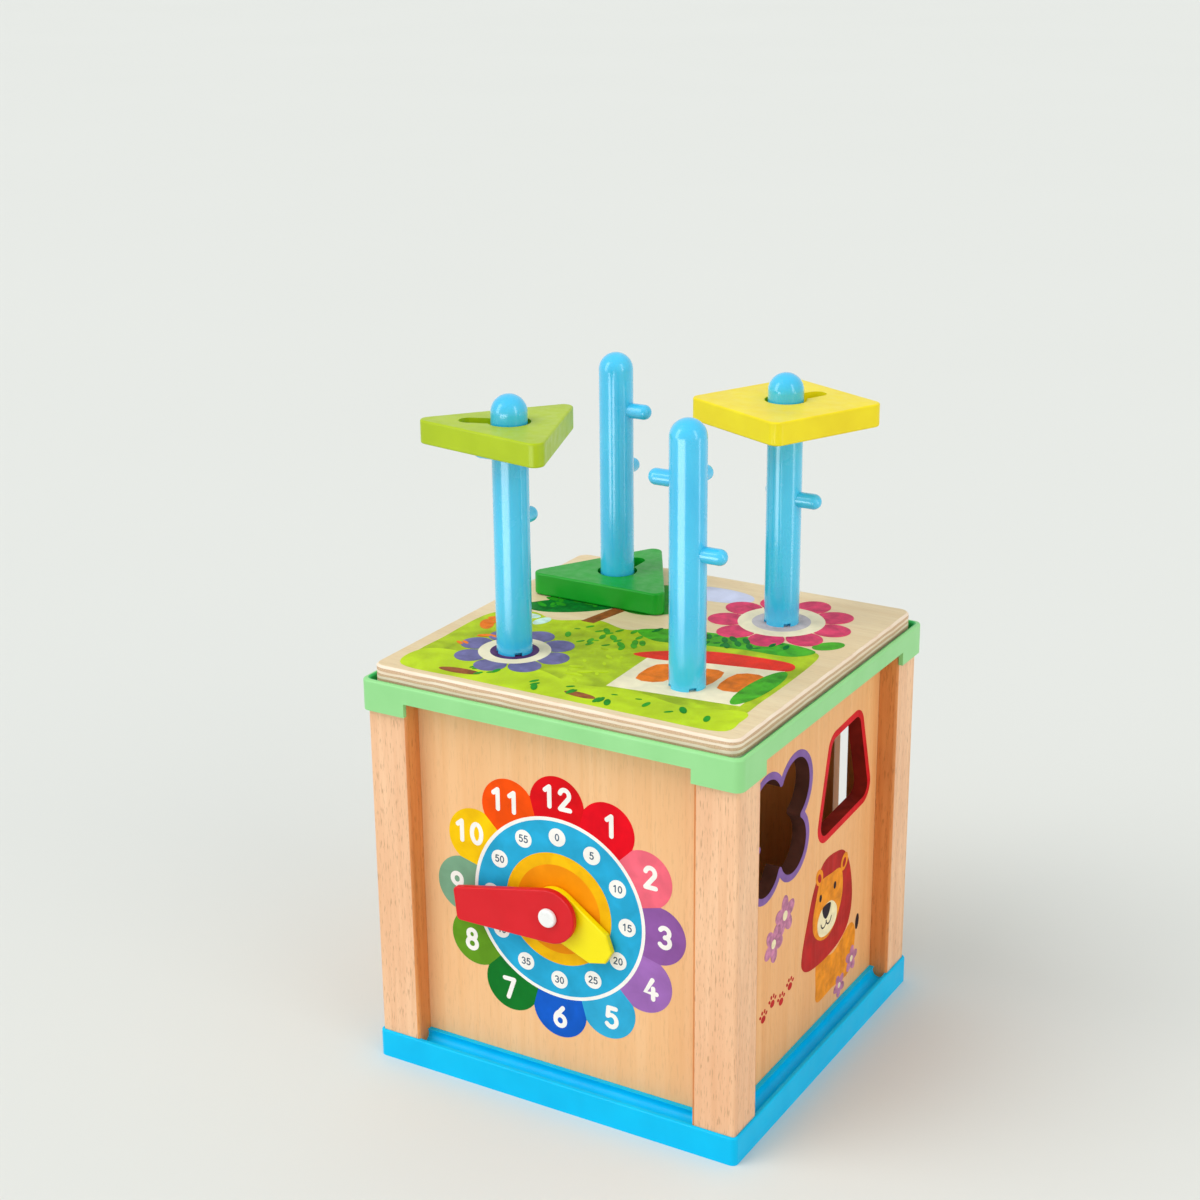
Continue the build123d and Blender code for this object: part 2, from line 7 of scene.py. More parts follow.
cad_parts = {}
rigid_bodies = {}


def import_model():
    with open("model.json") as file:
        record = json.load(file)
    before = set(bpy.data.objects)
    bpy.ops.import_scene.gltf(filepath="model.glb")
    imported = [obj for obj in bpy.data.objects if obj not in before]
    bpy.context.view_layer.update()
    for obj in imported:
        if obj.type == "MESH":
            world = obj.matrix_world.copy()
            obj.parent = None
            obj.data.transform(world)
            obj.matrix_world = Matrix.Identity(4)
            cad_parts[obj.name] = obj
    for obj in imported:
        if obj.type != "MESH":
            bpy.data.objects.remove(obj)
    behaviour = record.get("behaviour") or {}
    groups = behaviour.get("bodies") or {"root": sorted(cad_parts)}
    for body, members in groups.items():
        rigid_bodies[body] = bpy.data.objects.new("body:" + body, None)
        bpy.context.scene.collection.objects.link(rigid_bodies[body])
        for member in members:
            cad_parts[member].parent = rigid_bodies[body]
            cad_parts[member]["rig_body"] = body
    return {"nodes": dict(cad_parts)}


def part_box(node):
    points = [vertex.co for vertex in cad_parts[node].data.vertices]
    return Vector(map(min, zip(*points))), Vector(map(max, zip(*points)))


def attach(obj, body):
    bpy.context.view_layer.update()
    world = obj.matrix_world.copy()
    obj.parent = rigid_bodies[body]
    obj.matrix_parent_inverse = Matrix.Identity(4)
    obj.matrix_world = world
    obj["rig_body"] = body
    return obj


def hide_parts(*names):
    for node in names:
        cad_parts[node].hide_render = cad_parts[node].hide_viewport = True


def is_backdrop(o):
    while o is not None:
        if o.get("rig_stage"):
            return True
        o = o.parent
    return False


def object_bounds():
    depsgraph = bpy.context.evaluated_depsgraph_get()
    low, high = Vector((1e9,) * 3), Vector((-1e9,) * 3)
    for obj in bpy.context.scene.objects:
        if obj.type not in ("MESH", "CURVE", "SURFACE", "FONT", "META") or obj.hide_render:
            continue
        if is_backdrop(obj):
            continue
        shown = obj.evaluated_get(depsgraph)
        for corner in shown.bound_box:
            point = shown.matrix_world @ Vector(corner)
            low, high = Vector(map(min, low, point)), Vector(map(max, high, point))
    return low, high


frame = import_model()
cad_low, cad_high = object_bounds()

# Studio: a pale matt floor that runs to the horizon, broad daylight from the left in front,
# weaker warm daylight from the right, soft boxes and low cards that show only in the gloss,
# and a camera a little above the corner between the clock and the sorting panel.
MM = 0.001
LENS = 63.81
CAMERA_PLACE = (0.3949, -0.7067, 0.4722)
CAMERA_AZIMUTH = 30.63
CAMERA_ELEVATION = 19.21
CAMERA_ROLL = -0.57
SENSOR_WIDTH = 36
FLOOR_SIZE = 80.0
LAMP_AIM = (0, 0, 0.14)
AIR_COLOUR = (0.95, 0.98, 1.0, 1.0)
AIR_STRENGTH = 0.76


def tint(red, green, blue):
    """A paint chart colour, 0 to 255 a channel, as the linear values a shader takes."""
    shares = [channel / 255 for channel in (red, green, blue)]
    return (*(s / 12.92 if s < 0.04 else ((s + 0.055) / 1.055) ** 2.4 for s in shares), 1.0)


def tree_node(tree, kind, inputs=(), **settings):
    """A new node in a tree, its sockets fed by other nodes or set to plain values."""
    made = tree.nodes.new(kind)
    for setting, value in settings.items():
        setattr(made, setting, value)
    for socket, value in dict(inputs).items():
        if isinstance(value, bpy.types.NodeSocket):
            tree.links.new(value, made.inputs[socket])
        else:
            made.inputs[socket].default_value = value
    return made


class Finish:
    """A finish in the making: a shader and the patterns that feed it, sized in metres."""

    def __init__(self, name, roughness=0.5, **sockets):
        self.material = bpy.data.materials.new(name)
        self.material.use_nodes = True
        self.tree = self.material.node_tree
        self.shader = self.tree.nodes["Principled BSDF"]
        self.shader.inputs["Roughness"].default_value = roughness
        for socket, value in sockets.items():
            self.shader.inputs[socket.replace("_", " ")].default_value = value
        self.place = self.node("ShaderNodeTexCoord").outputs["Object"]

    def node(self, kind, inputs=(), **settings):
        return tree_node(self.tree, kind, inputs, **settings)

    def noise(self, size, detail=2.0, stretch=(1, 1, 1), shift=(0, 0, 0), warp=0.0):
        """Cloudy pattern with lumps of one size in metres, drawn out along an axis."""
        spot = self.node("ShaderNodeMapping", {"Vector": self.place, "Scale": stretch, "Location": shift})
        sizes = {"Vector": spot.outputs[0], "Scale": 1 / size, "Detail": detail, "Distortion": warp}
        return self.node("ShaderNodeTexNoise", sizes).outputs[0]

    def spread(self, pattern, low, high, to_low=0.0, to_high=1.0):
        """The part of a pattern between two levels, stretched to a new range."""
        inputs = {"Value": pattern, 1: low, 2: high, 3: to_low, 4: to_high}
        return self.node("ShaderNodeMapRange", inputs).outputs[0]

    def maths(self, operation, first, second):
        return self.node("ShaderNodeMath", {0: first, 1: second}, operation=operation).outputs[0]

    def mix(self, share, first, second):
        """Two colours blended; a share of one gives the second."""
        made = self.node("ShaderNodeMix", {0: share, 6: first, 7: second}, data_type="RGBA")
        return made.outputs[2]

    def colour(self, value):
        self.tree.links.new(value, self.shader.inputs["Base Color"])

    def gloss(self, value):
        """How rough the finish is from spot to spot."""
        self.tree.links.new(value, self.shader.inputs["Roughness"])

    def relief(self, pattern, depth, strength=1.0):
        """Raised and sunk skin: a pattern with its real depth in metres."""
        inputs = {"Height": pattern, "Distance": depth, "Strength": strength}
        bump = self.node("ShaderNodeBump", inputs)
        self.tree.links.new(bump.outputs[0], self.shader.inputs["Normal"])


def floor_paper():
    """Matt pale paper with a barely visible cloudiness."""
    finish = Finish("studio_paper", 0.9, Specular_IOR_Level=0.1)
    finish.colour(finish.mix(finish.noise(0.6), tint(219, 221, 217), tint(221, 223, 219)))
    return finish.material


def hang_lamp(lamp, place):
    """Hangs a lamp at a place, aimed at the middle of the object, out of every view."""
    holder = bpy.data.objects.new(lamp.name, lamp)
    aim = Vector(LAMP_AIM) - Vector(place)
    holder.matrix_world = Matrix.Translation(place) @ aim.to_track_quat("-Z", "Y").to_matrix().to_4x4()
    holder.visible_camera = False
    bpy.context.scene.collection.objects.link(holder)
    return holder


def soft_box(name, place, width, height, watts):
    """A tall panel of light that shows in gloss only."""
    lamp = bpy.data.lights.new(name, "AREA")
    lamp.shape = "RECTANGLE"
    lamp.size = width
    lamp.size_y = height
    lamp.energy = watts
    hang_lamp(lamp, place).visible_diffuse = False


def daylight(name, place, strength, blur, colour):
    """Even parallel light whose shadows have soft edges."""
    lamp = bpy.data.lights.new(name, "SUN")
    lamp.energy = strength
    lamp.angle = math.radians(blur)
    lamp.color = colour
    hang_lamp(lamp, place).visible_glossy = False


def studio_air():
    """Even pale light from all round, and the same pale tone behind everything."""
    world = bpy.data.worlds.new("studio_air")
    bpy.context.scene.world = world
    world.use_nodes = True
    air = world.node_tree
    fill = air.nodes["Background"]
    fill.inputs["Color"].default_value = AIR_COLOUR
    fill.inputs["Strength"].default_value = AIR_STRENGTH
    backdrop = air.nodes.new("ShaderNodeBackground")
    backdrop.inputs["Color"].default_value = tint(232, 235, 231)
    choice = air.nodes.new("ShaderNodeMixShader")
    air.links.new(air.nodes.new("ShaderNodeLightPath").outputs["Is Camera Ray"], choice.inputs[0])
    air.links.new(fill.outputs[0], choice.inputs[1])
    air.links.new(backdrop.outputs[0], choice.inputs[2])
    air.links.new(choice.outputs[0], air.nodes["World Output"].inputs[0])


lens = bpy.data.cameras.new("camera")
lens.lens = LENS
lens.sensor_width = SENSOR_WIDTH
camera = bpy.data.objects.new("camera", lens)
swing = Matrix.Rotation(math.radians(CAMERA_AZIMUTH), 4, "Z")
dip = Matrix.Rotation(math.radians(90 - CAMERA_ELEVATION), 4, "X")
lean = Matrix.Rotation(math.radians(CAMERA_ROLL), 4, "Z")
camera.matrix_world = Matrix.Translation(CAMERA_PLACE) @ swing @ dip @ lean
bpy.context.scene.collection.objects.link(camera)
bpy.context.scene.camera = camera
bpy.context.scene.view_settings.view_transform = "Standard"

studio_air()
daylight("main_daylight", (-0.95, -1.15, 2.14), 1.15, 40, (1.0, 0.985, 0.96))
daylight("front_daylight", (-0.9, -1.0, 0.6), 0.42, 50, (1.0, 0.97, 0.93))
daylight("warm_daylight", (1.35, -0.35, 0.6), 0.72, 50, (1.0, 0.9, 0.78))
soft_box("left_soft_box", (-0.9, -1.0, 0.75), 0.5, 1.3, 5.0)
soft_box("right_soft_box", (1.35, -0.35, 0.75), 0.3, 1.3, 3.0)
soft_box("front_gloss_card", (-0.055, -0.44, 0.15), 0.34, 0.2, 0.85)
soft_box("side_gloss_card", (0.45, 0.02, 0.15), 0.07, 0.2, 0.12)

paper = bpy.data.meshes.new("studio_floor")
half = FLOOR_SIZE / 2
edges = [(-half, -half, 0), (half, -half, 0), (half, half, 0), (-half, half, 0)]
paper.from_pydata(edges, [], [(0, 1, 2, 3)])
paper.materials.append(floor_paper())
studio_floor = bpy.data.objects.new("studio_floor", paper)
bpy.context.scene.collection.objects.link(studio_floor)
studio_floor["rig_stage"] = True

# Base tray: the blue tray that the posts and panels stand in, moulded in one piece with a
# rim, a cove between the posts and a sill under each panel. Its skin is finely pebbled.
FLOW_MARKS = 24 * MM
PLASTIC_SCUFFS = 7 * MM
PEBBLES = 0.9 * MM
PEBBLE_DEPTH = 0.02 * MM


def moulded(name, colour, shade, roughness=0.3, polish=0.1, shine=0.25, blur=0.06):
    """Moulded plastic: slow flow marks in the colour, fine pebbling, faint handling scuffs."""
    finish = Finish(name, roughness, Coat_Weight=polish, Coat_Roughness=blur, Specular_IOR_Level=shine)
    flow = finish.noise(FLOW_MARKS, 3, (1, 1, 0.5), warp=0.6)
    finish.colour(finish.mix(finish.spread(flow, 0.35, 0.7), tint(*colour), tint(*shade)))
    scuffs = finish.noise(PLASTIC_SCUFFS, 5, shift=(0.3, 0.1, 0.2))
    finish.gloss(finish.spread(scuffs, 0.3, 0.75, roughness - 0.04, roughness + 0.1))
    finish.relief(finish.noise(PEBBLES, 2), PEBBLE_DEPTH, 0.5)
    return finish.material


def kept(node, finish):
    """A CAD piece whose shape is right as it stands: it only gets its finish."""
    for place in frame["nodes"][node].material_slots:
        place.material = finish


azure_plastic = moulded("azure_plastic", (2, 196, 246), (0, 186, 238), 0.34, 0.05, 0.1)
kept("base_tray", azure_plastic)

# Corner posts: four square lengths of pale hardwood, planed, with rounded edges and a clear
# satin varnish. Grooves hold the panels; the grain and its dark pores run upright. Their
# flanks beside the panels, looking into the box, are painted darker and more orange: painted
# shade and warm bounce light from inside the box.
GRAIN_ALONG = {"X": (0.05, 1, 1), "Z": (1, 1, 0.05)}
STREAK_STRETCH = 0.03
PORE_STRETCH = 0.11
YEAR_RINGS = 7 * MM
TONE_PATCHES = 45 * MM
STREAKS = 2.2 * MM
FINE_GRAIN = 0.8 * MM
PORES = 0.55 * MM
PORE_TONE = 0.82
GRAIN_DEPTH = 0.07 * MM
# Cosines: under the first a face lies across a direction, over the second it looks along it.
ACROSS = 0.5
ALONG = 0.9
MERGE = 0.002 * MM


def merged_shell(node):
    """The mesh of a CAD piece with the seams between its facets merged, ready to edit."""
    shell = bmesh.new()
    shell.from_mesh(frame["nodes"][node].data)
    bmesh.ops.remove_doubles(shell, verts=shell.verts, dist=MERGE)
    return shell


def exact_copy(node):
    """A copy of a CAD piece with its seams merged and its shading kept as it was."""
    mesh = frame["nodes"][node].data.copy()
    mesh.materials.clear()
    facing = [0.0] * (3 * len(mesh.loops))
    mesh.corner_normals.foreach_get("vector", facing)
    noted = mesh.attributes.new("facing", "FLOAT_VECTOR", "CORNER")
    noted.data.foreach_set("vector", facing)
    shell = bmesh.new()
    shell.from_mesh(mesh)
    bmesh.ops.remove_doubles(shell, verts=shell.verts, dist=MERGE)
    shell.to_mesh(mesh)
    shell.free()
    facing = [0.0] * (3 * len(mesh.loops))
    mesh.attributes["facing"].data.foreach_get("vector", facing)
    mesh.attributes.remove(mesh.attributes["facing"])
    mesh.normals_split_custom_set([facing[i:i + 3] for i in range(0, len(facing), 3)])
    return mesh


def settle(piece, body, slot, *replaced):
    """Puts a finished piece on its body and in place of its CAD nodes. The slot is not used."""
    bpy.context.scene.collection.objects.link(piece)
    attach(piece, body)
    if replaced:
        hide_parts(*replaced)
    return piece


def finished(node, finish, slot):
    """A CAD piece as it is, in a copy whose faces can take more than one finish."""
    piece = bpy.data.objects.new(f"{node}_piece", exact_copy(node))
    piece.data.materials.append(finish)
    return settle(piece, frame["nodes"][node]["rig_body"], slot, node)


def paint_faces(piece, finish, wanted):
    """Gives a second finish to the faces whose middle and direction pass a test."""
    piece.data.materials.append(finish)
    index = len(piece.data.materials) - 1
    for polygon in piece.data.polygons:
        if wanted(polygon.center, polygon.normal):
            polygon.material_index = index


def wood(name, pale, dark, along, pores=0.3, bands=0.5, sheen=0.42, shift=(0, 0, 0)):
    """Varnished timber: year rings, slow tone changes, streaks and fine pores along one axis."""
    finish = Finish(name, sheen, Coat_Weight=0.08, Coat_Roughness=0.3, Specular_IOR_Level=0.25)
    stretch = GRAIN_ALONG[along]
    long_grain = tuple(s if s == 1 else STREAK_STRETCH for s in stretch)
    short_grain = tuple(s if s == 1 else PORE_STRETCH for s in stretch)
    rings = finish.spread(finish.noise(YEAR_RINGS, 3, stretch, shift, 0.8), 0.35, 0.68)
    tone = finish.noise(TONE_PATCHES, 2, (0.7, 0.7, 0.7), shift)
    streaks = finish.spread(finish.noise(STREAKS, 4, long_grain, shift, 0.3), 0.42, 0.7)
    fine = finish.noise(FINE_GRAIN, 3, long_grain, shift)
    specks = finish.spread(finish.noise(PORES, 2, short_grain, shift), 0.57, 0.68)
    deeper = tuple(channel * PORE_TONE for channel in dark)
    body = finish.mix(finish.maths("MULTIPLY", rings, bands), tint(*pale), tint(*dark))
    body = finish.mix(finish.spread(tone, 0.4, 0.75, 0.0, 0.4), body, tint(*dark))
    body = finish.mix(finish.maths("MULTIPLY", streaks, bands), body, tint(*dark))
    finish.colour(finish.mix(finish.maths("MULTIPLY", specks, pores), body, tint(*deeper)))
    finish.gloss(finish.spread(fine, 0.3, 0.7, sheen - 0.06, sheen + 0.14))
    finish.relief(fine, GRAIN_DEPTH, 0.35)
    return finish.material


post_timber = wood("post_timber", (249, 204, 163), (226, 168, 124), "Z", 0.62, 0.45)
# Faces of the posts that look into the box: darker and more orange wood, painted shade and warm bounce light.
shaded_post_flank = wood("shaded_post_flank", (232, 158, 92), (204, 118, 56), "Z", 0.5, 0.6)


def on_flank(middle, facing):
    """The upright faces of a post that look back towards the middle of the box: they take the painted shade.
    """
    inward = min(facing.x * middle.x, facing.y * middle.y)
    return inward < -0.1 * MM and abs(facing.z) < ACROSS


# The inward faces of each post get the darker timber: painted shade.
for corner in ("front_left", "front_right", "back_left", "back_right"):
    post = finished(f"post_{corner}", post_timber, "post_wood")
    paint_faces(post, shaded_post_flank, on_flank)

# Panels: four plywood boards, varnished honey-coloured outside, that slide into the posts'
# grooves. Their inside faces are painted darker and more orange: painted shade and warm bounce
# light inside the box. The two side boards are a deeper orange than the front and back: painted
# shade. Holes are routed through and their walls painted.
clock_face = -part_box("clock_panel")[0].y
sorting_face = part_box("sorting_panel")[1].x
crown_face = -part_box("crown_panel")[0].x
track_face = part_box("track_panel")[1].y
PANEL_THICKNESS = track_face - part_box("track_panel")[0].y
ON_CLOCK = Matrix(((1, 0, 0, 0), (0, 0, -1, -clock_face), (0, 1, 0, 0), (0, 0, 0, 1)))
ON_SORTING = Matrix(((0, 0, 1, sorting_face), (1, 0, 0, 0), (0, 1, 0, 0), (0, 0, 0, 1)))
ON_CROWN = Matrix(((0, 0, -1, -crown_face), (-1, 0, 0, 0), (0, 1, 0, 0), (0, 0, 0, 1)))
ON_TRACKS = Matrix(((-1, 0, 0, 0), (0, 0, 1, track_face), (0, 1, 0, 0), (0, 0, 0, 1)))
ON_THE_FACE = 0.01 * MM
GRAIN_UNDER_INK = 0.9 * MM
# Measures of the prints, in millimetres; ink starts a little under the face it lies on.
BORDER_WIDTH = 3.0
BORDER_FILM = 0.08
INK_ROOT = -0.03

panel_ply = wood("panel_ply", (247, 199, 146), (238, 180, 122), "Z", 0.2, 0.5, 0.4)
# The two side panels: a deeper, more orange copy of the panel ply, painted shade of the side faces.
shaded_side_ply = wood("shaded_side_ply", (246, 190, 130), (234, 166, 102), "Z", 0.22, 0.5, 0.4, (0.2, 0, 0))
# Inside faces of the panels: a darker, more orange copy of the ply, painted shade and warm bounce light
# inside the box.
shaded_inner_ply = wood("shaded_inner_ply", (236, 158, 84), (220, 136, 62), "Z", 0.3, 0.5, 0.5, (0.4, 0.3, 0))


def ink(name, colour, lively=0.08, sheen=0.42, patch=9.0):
    """Printed ink: slightly uneven cover, the grain of the wood showing faintly through."""
    finish = Finish(name, sheen, Specular_IOR_Level=0.06)
    darker = tint(*(channel * (1 - lively) for channel in colour))
    paler = tint(*(min(255, channel * (1 + 0.6 * lively)) for channel in colour))
    cover = finish.spread(finish.noise(patch * MM, 4, warp=0.4), 0.3, 0.7)
    grain = finish.noise(GRAIN_UNDER_INK, 3, GRAIN_ALONG["Z"])
    finish.colour(finish.mix(cover, darker, paler))
    finish.gloss(finish.spread(grain, 0.3, 0.7, sheen - 0.05, sheen + 0.1))
    finish.relief(grain, 0.03 * MM, 0.3)
    return finish.material


def ink_piece(name, surface, shapes):
    """Films of ink on a surface. A shape is its loops (outline, then holes), height, finish."""
    skin = bmesh.new()
    finishes = []
    for loops, height, finish in shapes:
        if finish not in finishes:
            finishes.append(finish)
        rows = [[Vector((u, v, 0)) for u, v in loop] for loop in loops]
        flat = [point for row in rows for point in row]
        tops = [skin.verts.new(surface @ (Vector((p.x, p.y, height)) * MM)) for p in flat]
        feet = [skin.verts.new(surface @ (Vector((p.x, p.y, INK_ROOT)) * MM)) for p in flat]
        made = []
        for a, b, c in geometry.tessellate_polygon(rows):
            made.append(skin.faces.new((tops[a], tops[b], tops[c])))
            made.append(skin.faces.new((feet[c], feet[b], feet[a])))
        start = 0
        for row in rows:
            for step in range(len(row)):
                here = start + step
                ahead = start + (step + 1) % len(row)
                made.append(skin.faces.new((tops[here], feet[here], feet[ahead], tops[ahead])))
            start += len(row)
        for side in made:
            side.material_index = finishes.index(finish)
    bmesh.ops.recalc_face_normals(skin, faces=skin.faces)
    mesh = bpy.data.meshes.new(name)
    skin.to_mesh(mesh)
    skin.free()
    for finish in finishes:
        mesh.materials.append(finish)
    return bpy.data.objects.new(name, mesh)


def hole_loops(node, surface):
    """Outlines of the holes in a panel's face, in millimetres; its own outline is left out."""
    shell = merged_shell(node)
    shell.transform(surface.inverted())
    on_face = {f for f in shell.faces if all(abs(v.co.z) < ON_THE_FACE for v in f.verts)}
    border = [e for e in shell.edges if len(on_face.intersection(e.link_faces)) == 1]
    neighbours = {}
    for edge in border:
        first, second = edge.verts
        neighbours.setdefault(first, []).append(second)
        neighbours.setdefault(second, []).append(first)
    loops = []
    while neighbours:
        start = next(iter(neighbours))
        loop = [start]
        while True:
            ahead = [v for v in neighbours.pop(loop[-1]) if v in neighbours]
            if not ahead:
                break
            loop.append(ahead[0])
        loops.append([(v.co.x / MM, v.co.y / MM) for v in loop])
    shell.free()
    widths = [max(u for u, v in loop) - min(u for u, v in loop) for loop in loops]
    return [loop for loop, width in zip(loops, widths) if width < max(widths) - 1]


def fine_steps(loop, longest=1.0):
    """The same loop with points added along its straight stretches."""
    outline = []
    for (u, v), (ahead_u, ahead_v) in zip(loop, loop[1:] + loop[:1]):
        parts = max(1, math.ceil(math.dist((u, v), (ahead_u, ahead_v)) / longest))
        outline += [(u + (ahead_u - u) * p / parts, v + (ahead_v - v) * p / parts) for p in range(parts)]
    return outline


def widened(loop, margin, steps=144):
    """The outline that stays a margin outside a loop, seen from the loop's middle."""
    middle_u = (max(u for u, v in loop) + min(u for u, v in loop)) / 2
    middle_v = (max(v for u, v in loop) + min(v for u, v in loop)) / 2
    outline = []
    for step in range(steps):
        angle = math.tau * step / steps
        along_u, along_v = math.cos(angle), math.sin(angle)
        reach = 0
        for u, v in fine_steps(loop):
            forward = (u - middle_u) * along_u + (v - middle_v) * along_v
            aside = (v - middle_v) * along_u - (u - middle_u) * along_v
            if abs(aside) < margin:
                reach = max(reach, forward + math.sqrt(margin ** 2 - aside ** 2))
        outline.append((middle_u + reach * along_u, middle_v + reach * along_v))
    return outline


def panel(node, surface, outside, walls=()):
    """A finished panel: face, a back darkened by painted shade, and a painted wall for each of its holes."""
    board = finished(node, outside, "panel_wood")
    out = surface.to_3x3() @ Vector((0, 0, 1))
    # The back faces take the darker, more orange inside ply: painted shade.
    paint_faces(board, shaded_inner_ply, lambda middle, facing: facing.dot(out) < -ALONG)
    for finish, low_u, high_u in walls:

        def on_wall(middle, facing, low_u=low_u, high_u=high_u):
            spot = surface.inverted() @ middle
            level = -PANEL_THICKNESS < spot.z < 0 and abs(facing.dot(out)) < ACROSS
            return level and low_u < spot.x / MM < high_u

        paint_faces(board, finish, on_wall)
    return board


dark_wall = ink("umber_wall_paint", (96, 58, 48), 0.2, 0.5)
red_wall = ink("dark_red_wall_paint", (140, 36, 26), 0.2, 0.5)
violet_border = ink("violet_border_ink", (134, 98, 166), 0.1)
red_border = ink("red_border_ink", (214, 26, 36), 0.08)
green_border = ink("green_border_ink", (96, 186, 84), 0.1)
blue_border = ink("blue_border_ink", (40, 146, 212), 0.1)
orange_border = ink("orange_border_ink", (246, 150, 40), 0.1)

panel("clock_panel", ON_CLOCK, panel_ply)
# The side panels take the deeper orange copy of the ply: painted shade.
panel("sorting_panel", ON_SORTING, shaded_side_ply, [(dark_wall, -60, 1), (red_wall, 1, 60)])
panel("crown_panel", ON_CROWN, shaded_side_ply)
panel("track_panel", ON_TRACKS, panel_ply)

borders = []
for loop in hole_loops("sorting_panel", ON_SORTING):
    finish = violet_border if sum(u for u, v in loop) < 0 else red_border
    borders.append(([widened(loop, BORDER_WIDTH), loop], BORDER_FILM, finish))
settle(ink_piece("sorting_hole_borders", ON_SORTING, borders), "box", "panel_wood")
borders = []
for loop in hole_loops("crown_panel", ON_CROWN):
    borders.append(([widened(loop, BORDER_WIDTH), loop], BORDER_FILM, orange_border))
settle(ink_piece("crown_hole_border", ON_CROWN, borders), "box", "panel_wood")


def bow(middle_u, middle_v, reach_u, reach_v, start, end, steps=14):
    """Points along part of an oval, between two angles in degrees."""
    turns = [math.radians(start + (end - start) * step / steps) for step in range(steps + 1)]
    return [(middle_u + reach_u * math.cos(t), middle_v + reach_v * math.sin(t)) for t in turns]


def pen_stroke(points, width):
    """The outline, and any hole, that a round pen leaves along a line of points."""
    closed = math.dist(points[0], points[-1]) < 0.01 * width
    line = points[:-1] if closed else points
    count = len(line)
    left, right = [], []
    for step, (u, v) in enumerate(line):
        before = line[step - 1] if closed or step else line[0]
        after = line[(step + 1) % count] if closed or step < count - 1 else line[-1]
        run = math.dist(before, after)
        aside_u = -(after[1] - before[1]) / run * width / 2
        aside_v = (after[0] - before[0]) / run * width / 2
        left.append((u + aside_u, v + aside_v))
        right.append((u - aside_u, v - aside_v))
    if closed:
        return [right, left]
    caps = []
    for end, edge in ((line[-1], left[-1]), (line[0], right[0])):
        start = math.degrees(math.atan2(edge[1] - end[1], edge[0] - end[0]))
        caps.append(bow(*end, width / 2, width / 2, start, start - 180, 8)[1:-1])
    return [left + caps[0] + right[::-1] + caps[1]]


TRACK_WIDTH = 6.2
TRACK_BORDER = 1.8
TIGHT_BEND = 5.0
WIDE_BEND = 14.0


def track_line(loop, width):
    """The middle of a hooked slot: short leg, tight bend, wide bend, long leg."""
    short = max(u for u, v in loop) - width / 2
    long = min(u for u, v in loop) + width / 2
    top = max(v for u, v in loop) - width / 2
    foot = min(v for u, v in loop) + width / 2
    line = [(short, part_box("left_slider_pin")[0].z / MM + width / 2)]
    line += bow(short - TIGHT_BEND, top - TIGHT_BEND, TIGHT_BEND, TIGHT_BEND, 0, 90)
    line += bow(long + WIDE_BEND, top - WIDE_BEND, WIDE_BEND, WIDE_BEND, 90, 180)
    return line + [(long, foot)]


borders = []
for loop in hole_loops("track_panel", ON_TRACKS):
    finish = green_border if sum(u for u, v in loop) < 0 else blue_border
    outline = pen_stroke(track_line(loop, TRACK_WIDTH), TRACK_WIDTH + 2 * TRACK_BORDER)[0]
    borders.append(([outline, loop], BORDER_FILM, finish))
settle(ink_piece("track_borders", ON_TRACKS, borders), "box", "panel_wood")

# Top frame: the pale green collar screwed down on the posts, moulded with a lip round the
# lid, a ledge that the lid rests on, caps over the posts and lugs that grip the panels.
# The inside faces of the lip are painted a deeper green: painted glow of light passing through
# and bouncing in the thin plastic.
green_plastic = moulded("leaf_green_plastic", (152, 220, 146), (144, 214, 138), 0.32)
# A deeper green that stands in for light glowing through the thin lip: painted light.
lip_glow_green = moulded("deep_green_plastic", (44, 196, 98), (36, 186, 88), 0.3)
collar = finished("top_frame", green_plastic, "green_frame")
LIP_WALL = 3.2 * MM
LIP_DEPTH = 5.5 * MM
collar_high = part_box("top_frame")[1]
lip_reach = collar_high.x - LIP_WALL
ledge_top = collar_high.z - LIP_DEPTH


def inside_lip(middle, facing):
    """The faces of the lip that look in over the lid."""
    inward = facing.x * middle.x + facing.y * middle.y < 0
    return inward and middle.z > ledge_top and max(abs(middle.x), abs(middle.y)) > lip_reach


# The lip's inside faces take the deeper green: painted glow.
paint_faces(collar, lip_glow_green, inside_lip)

# Screws: countersunk cross-head wood screws, zinc-plated, four down through the frame and
# four up through the base into the ends of the posts.
TURNING_MARKS = 0.15 * MM


def plated_steel():
    """Bright zinc plate with fine turning marks and duller patches."""
    finish = Finish("zinc_plated_steel", 0.32, Metallic=1.0)
    finish.colour(finish.mix(finish.noise(1.5 * MM, 3), tint(196, 198, 200), tint(168, 172, 178)))
    finish.gloss(finish.spread(finish.noise(0.4 * MM, 2), 0.3, 0.7, 0.24, 0.42))
    finish.relief(finish.noise(TURNING_MARKS, 1, (1, 1, 6)), 0.01 * MM, 0.4)
    return finish.material


zinc = plated_steel()
for group in ("frame_screws", "base_screws"):
    kept(group, zinc)

# Clock print: a flower of twelve coloured petals with the hours, a blue dial with a white
# rim and twelve minute dots, and a yellow and orange sun round the pin. Screen-printed.
clock_pin_low, clock_pin_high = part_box("clock_pin")
clock_height = (clock_pin_low.z + clock_pin_high.z) / 2
ON_DIAL = ON_CLOCK @ Matrix.Translation((0, clock_height, 0))
PETAL_RING = 44.3
PETAL_RADIUS = 12.3
DIAL_RADIUS = 39.0
RIM_WIDTH = 1.5
SUN_RADIUS = 24.0
SUN_CORE = 19.0
DOT_RING = 31.0
DOT_RADIUS = 3.8
HOUR_RING = 47.6
HOUR_HEIGHT = 8.2
HOUR_PEN = 1.95
MINUTE_HEIGHT = 2.7
MINUTE_PEN = 0.5
PETAL_STEPS = 24
PETAL_FILM = 0.06
DIAL_FILM = 0.09
FILM_STEP = 0.02
HOUR_FILM = 0.1
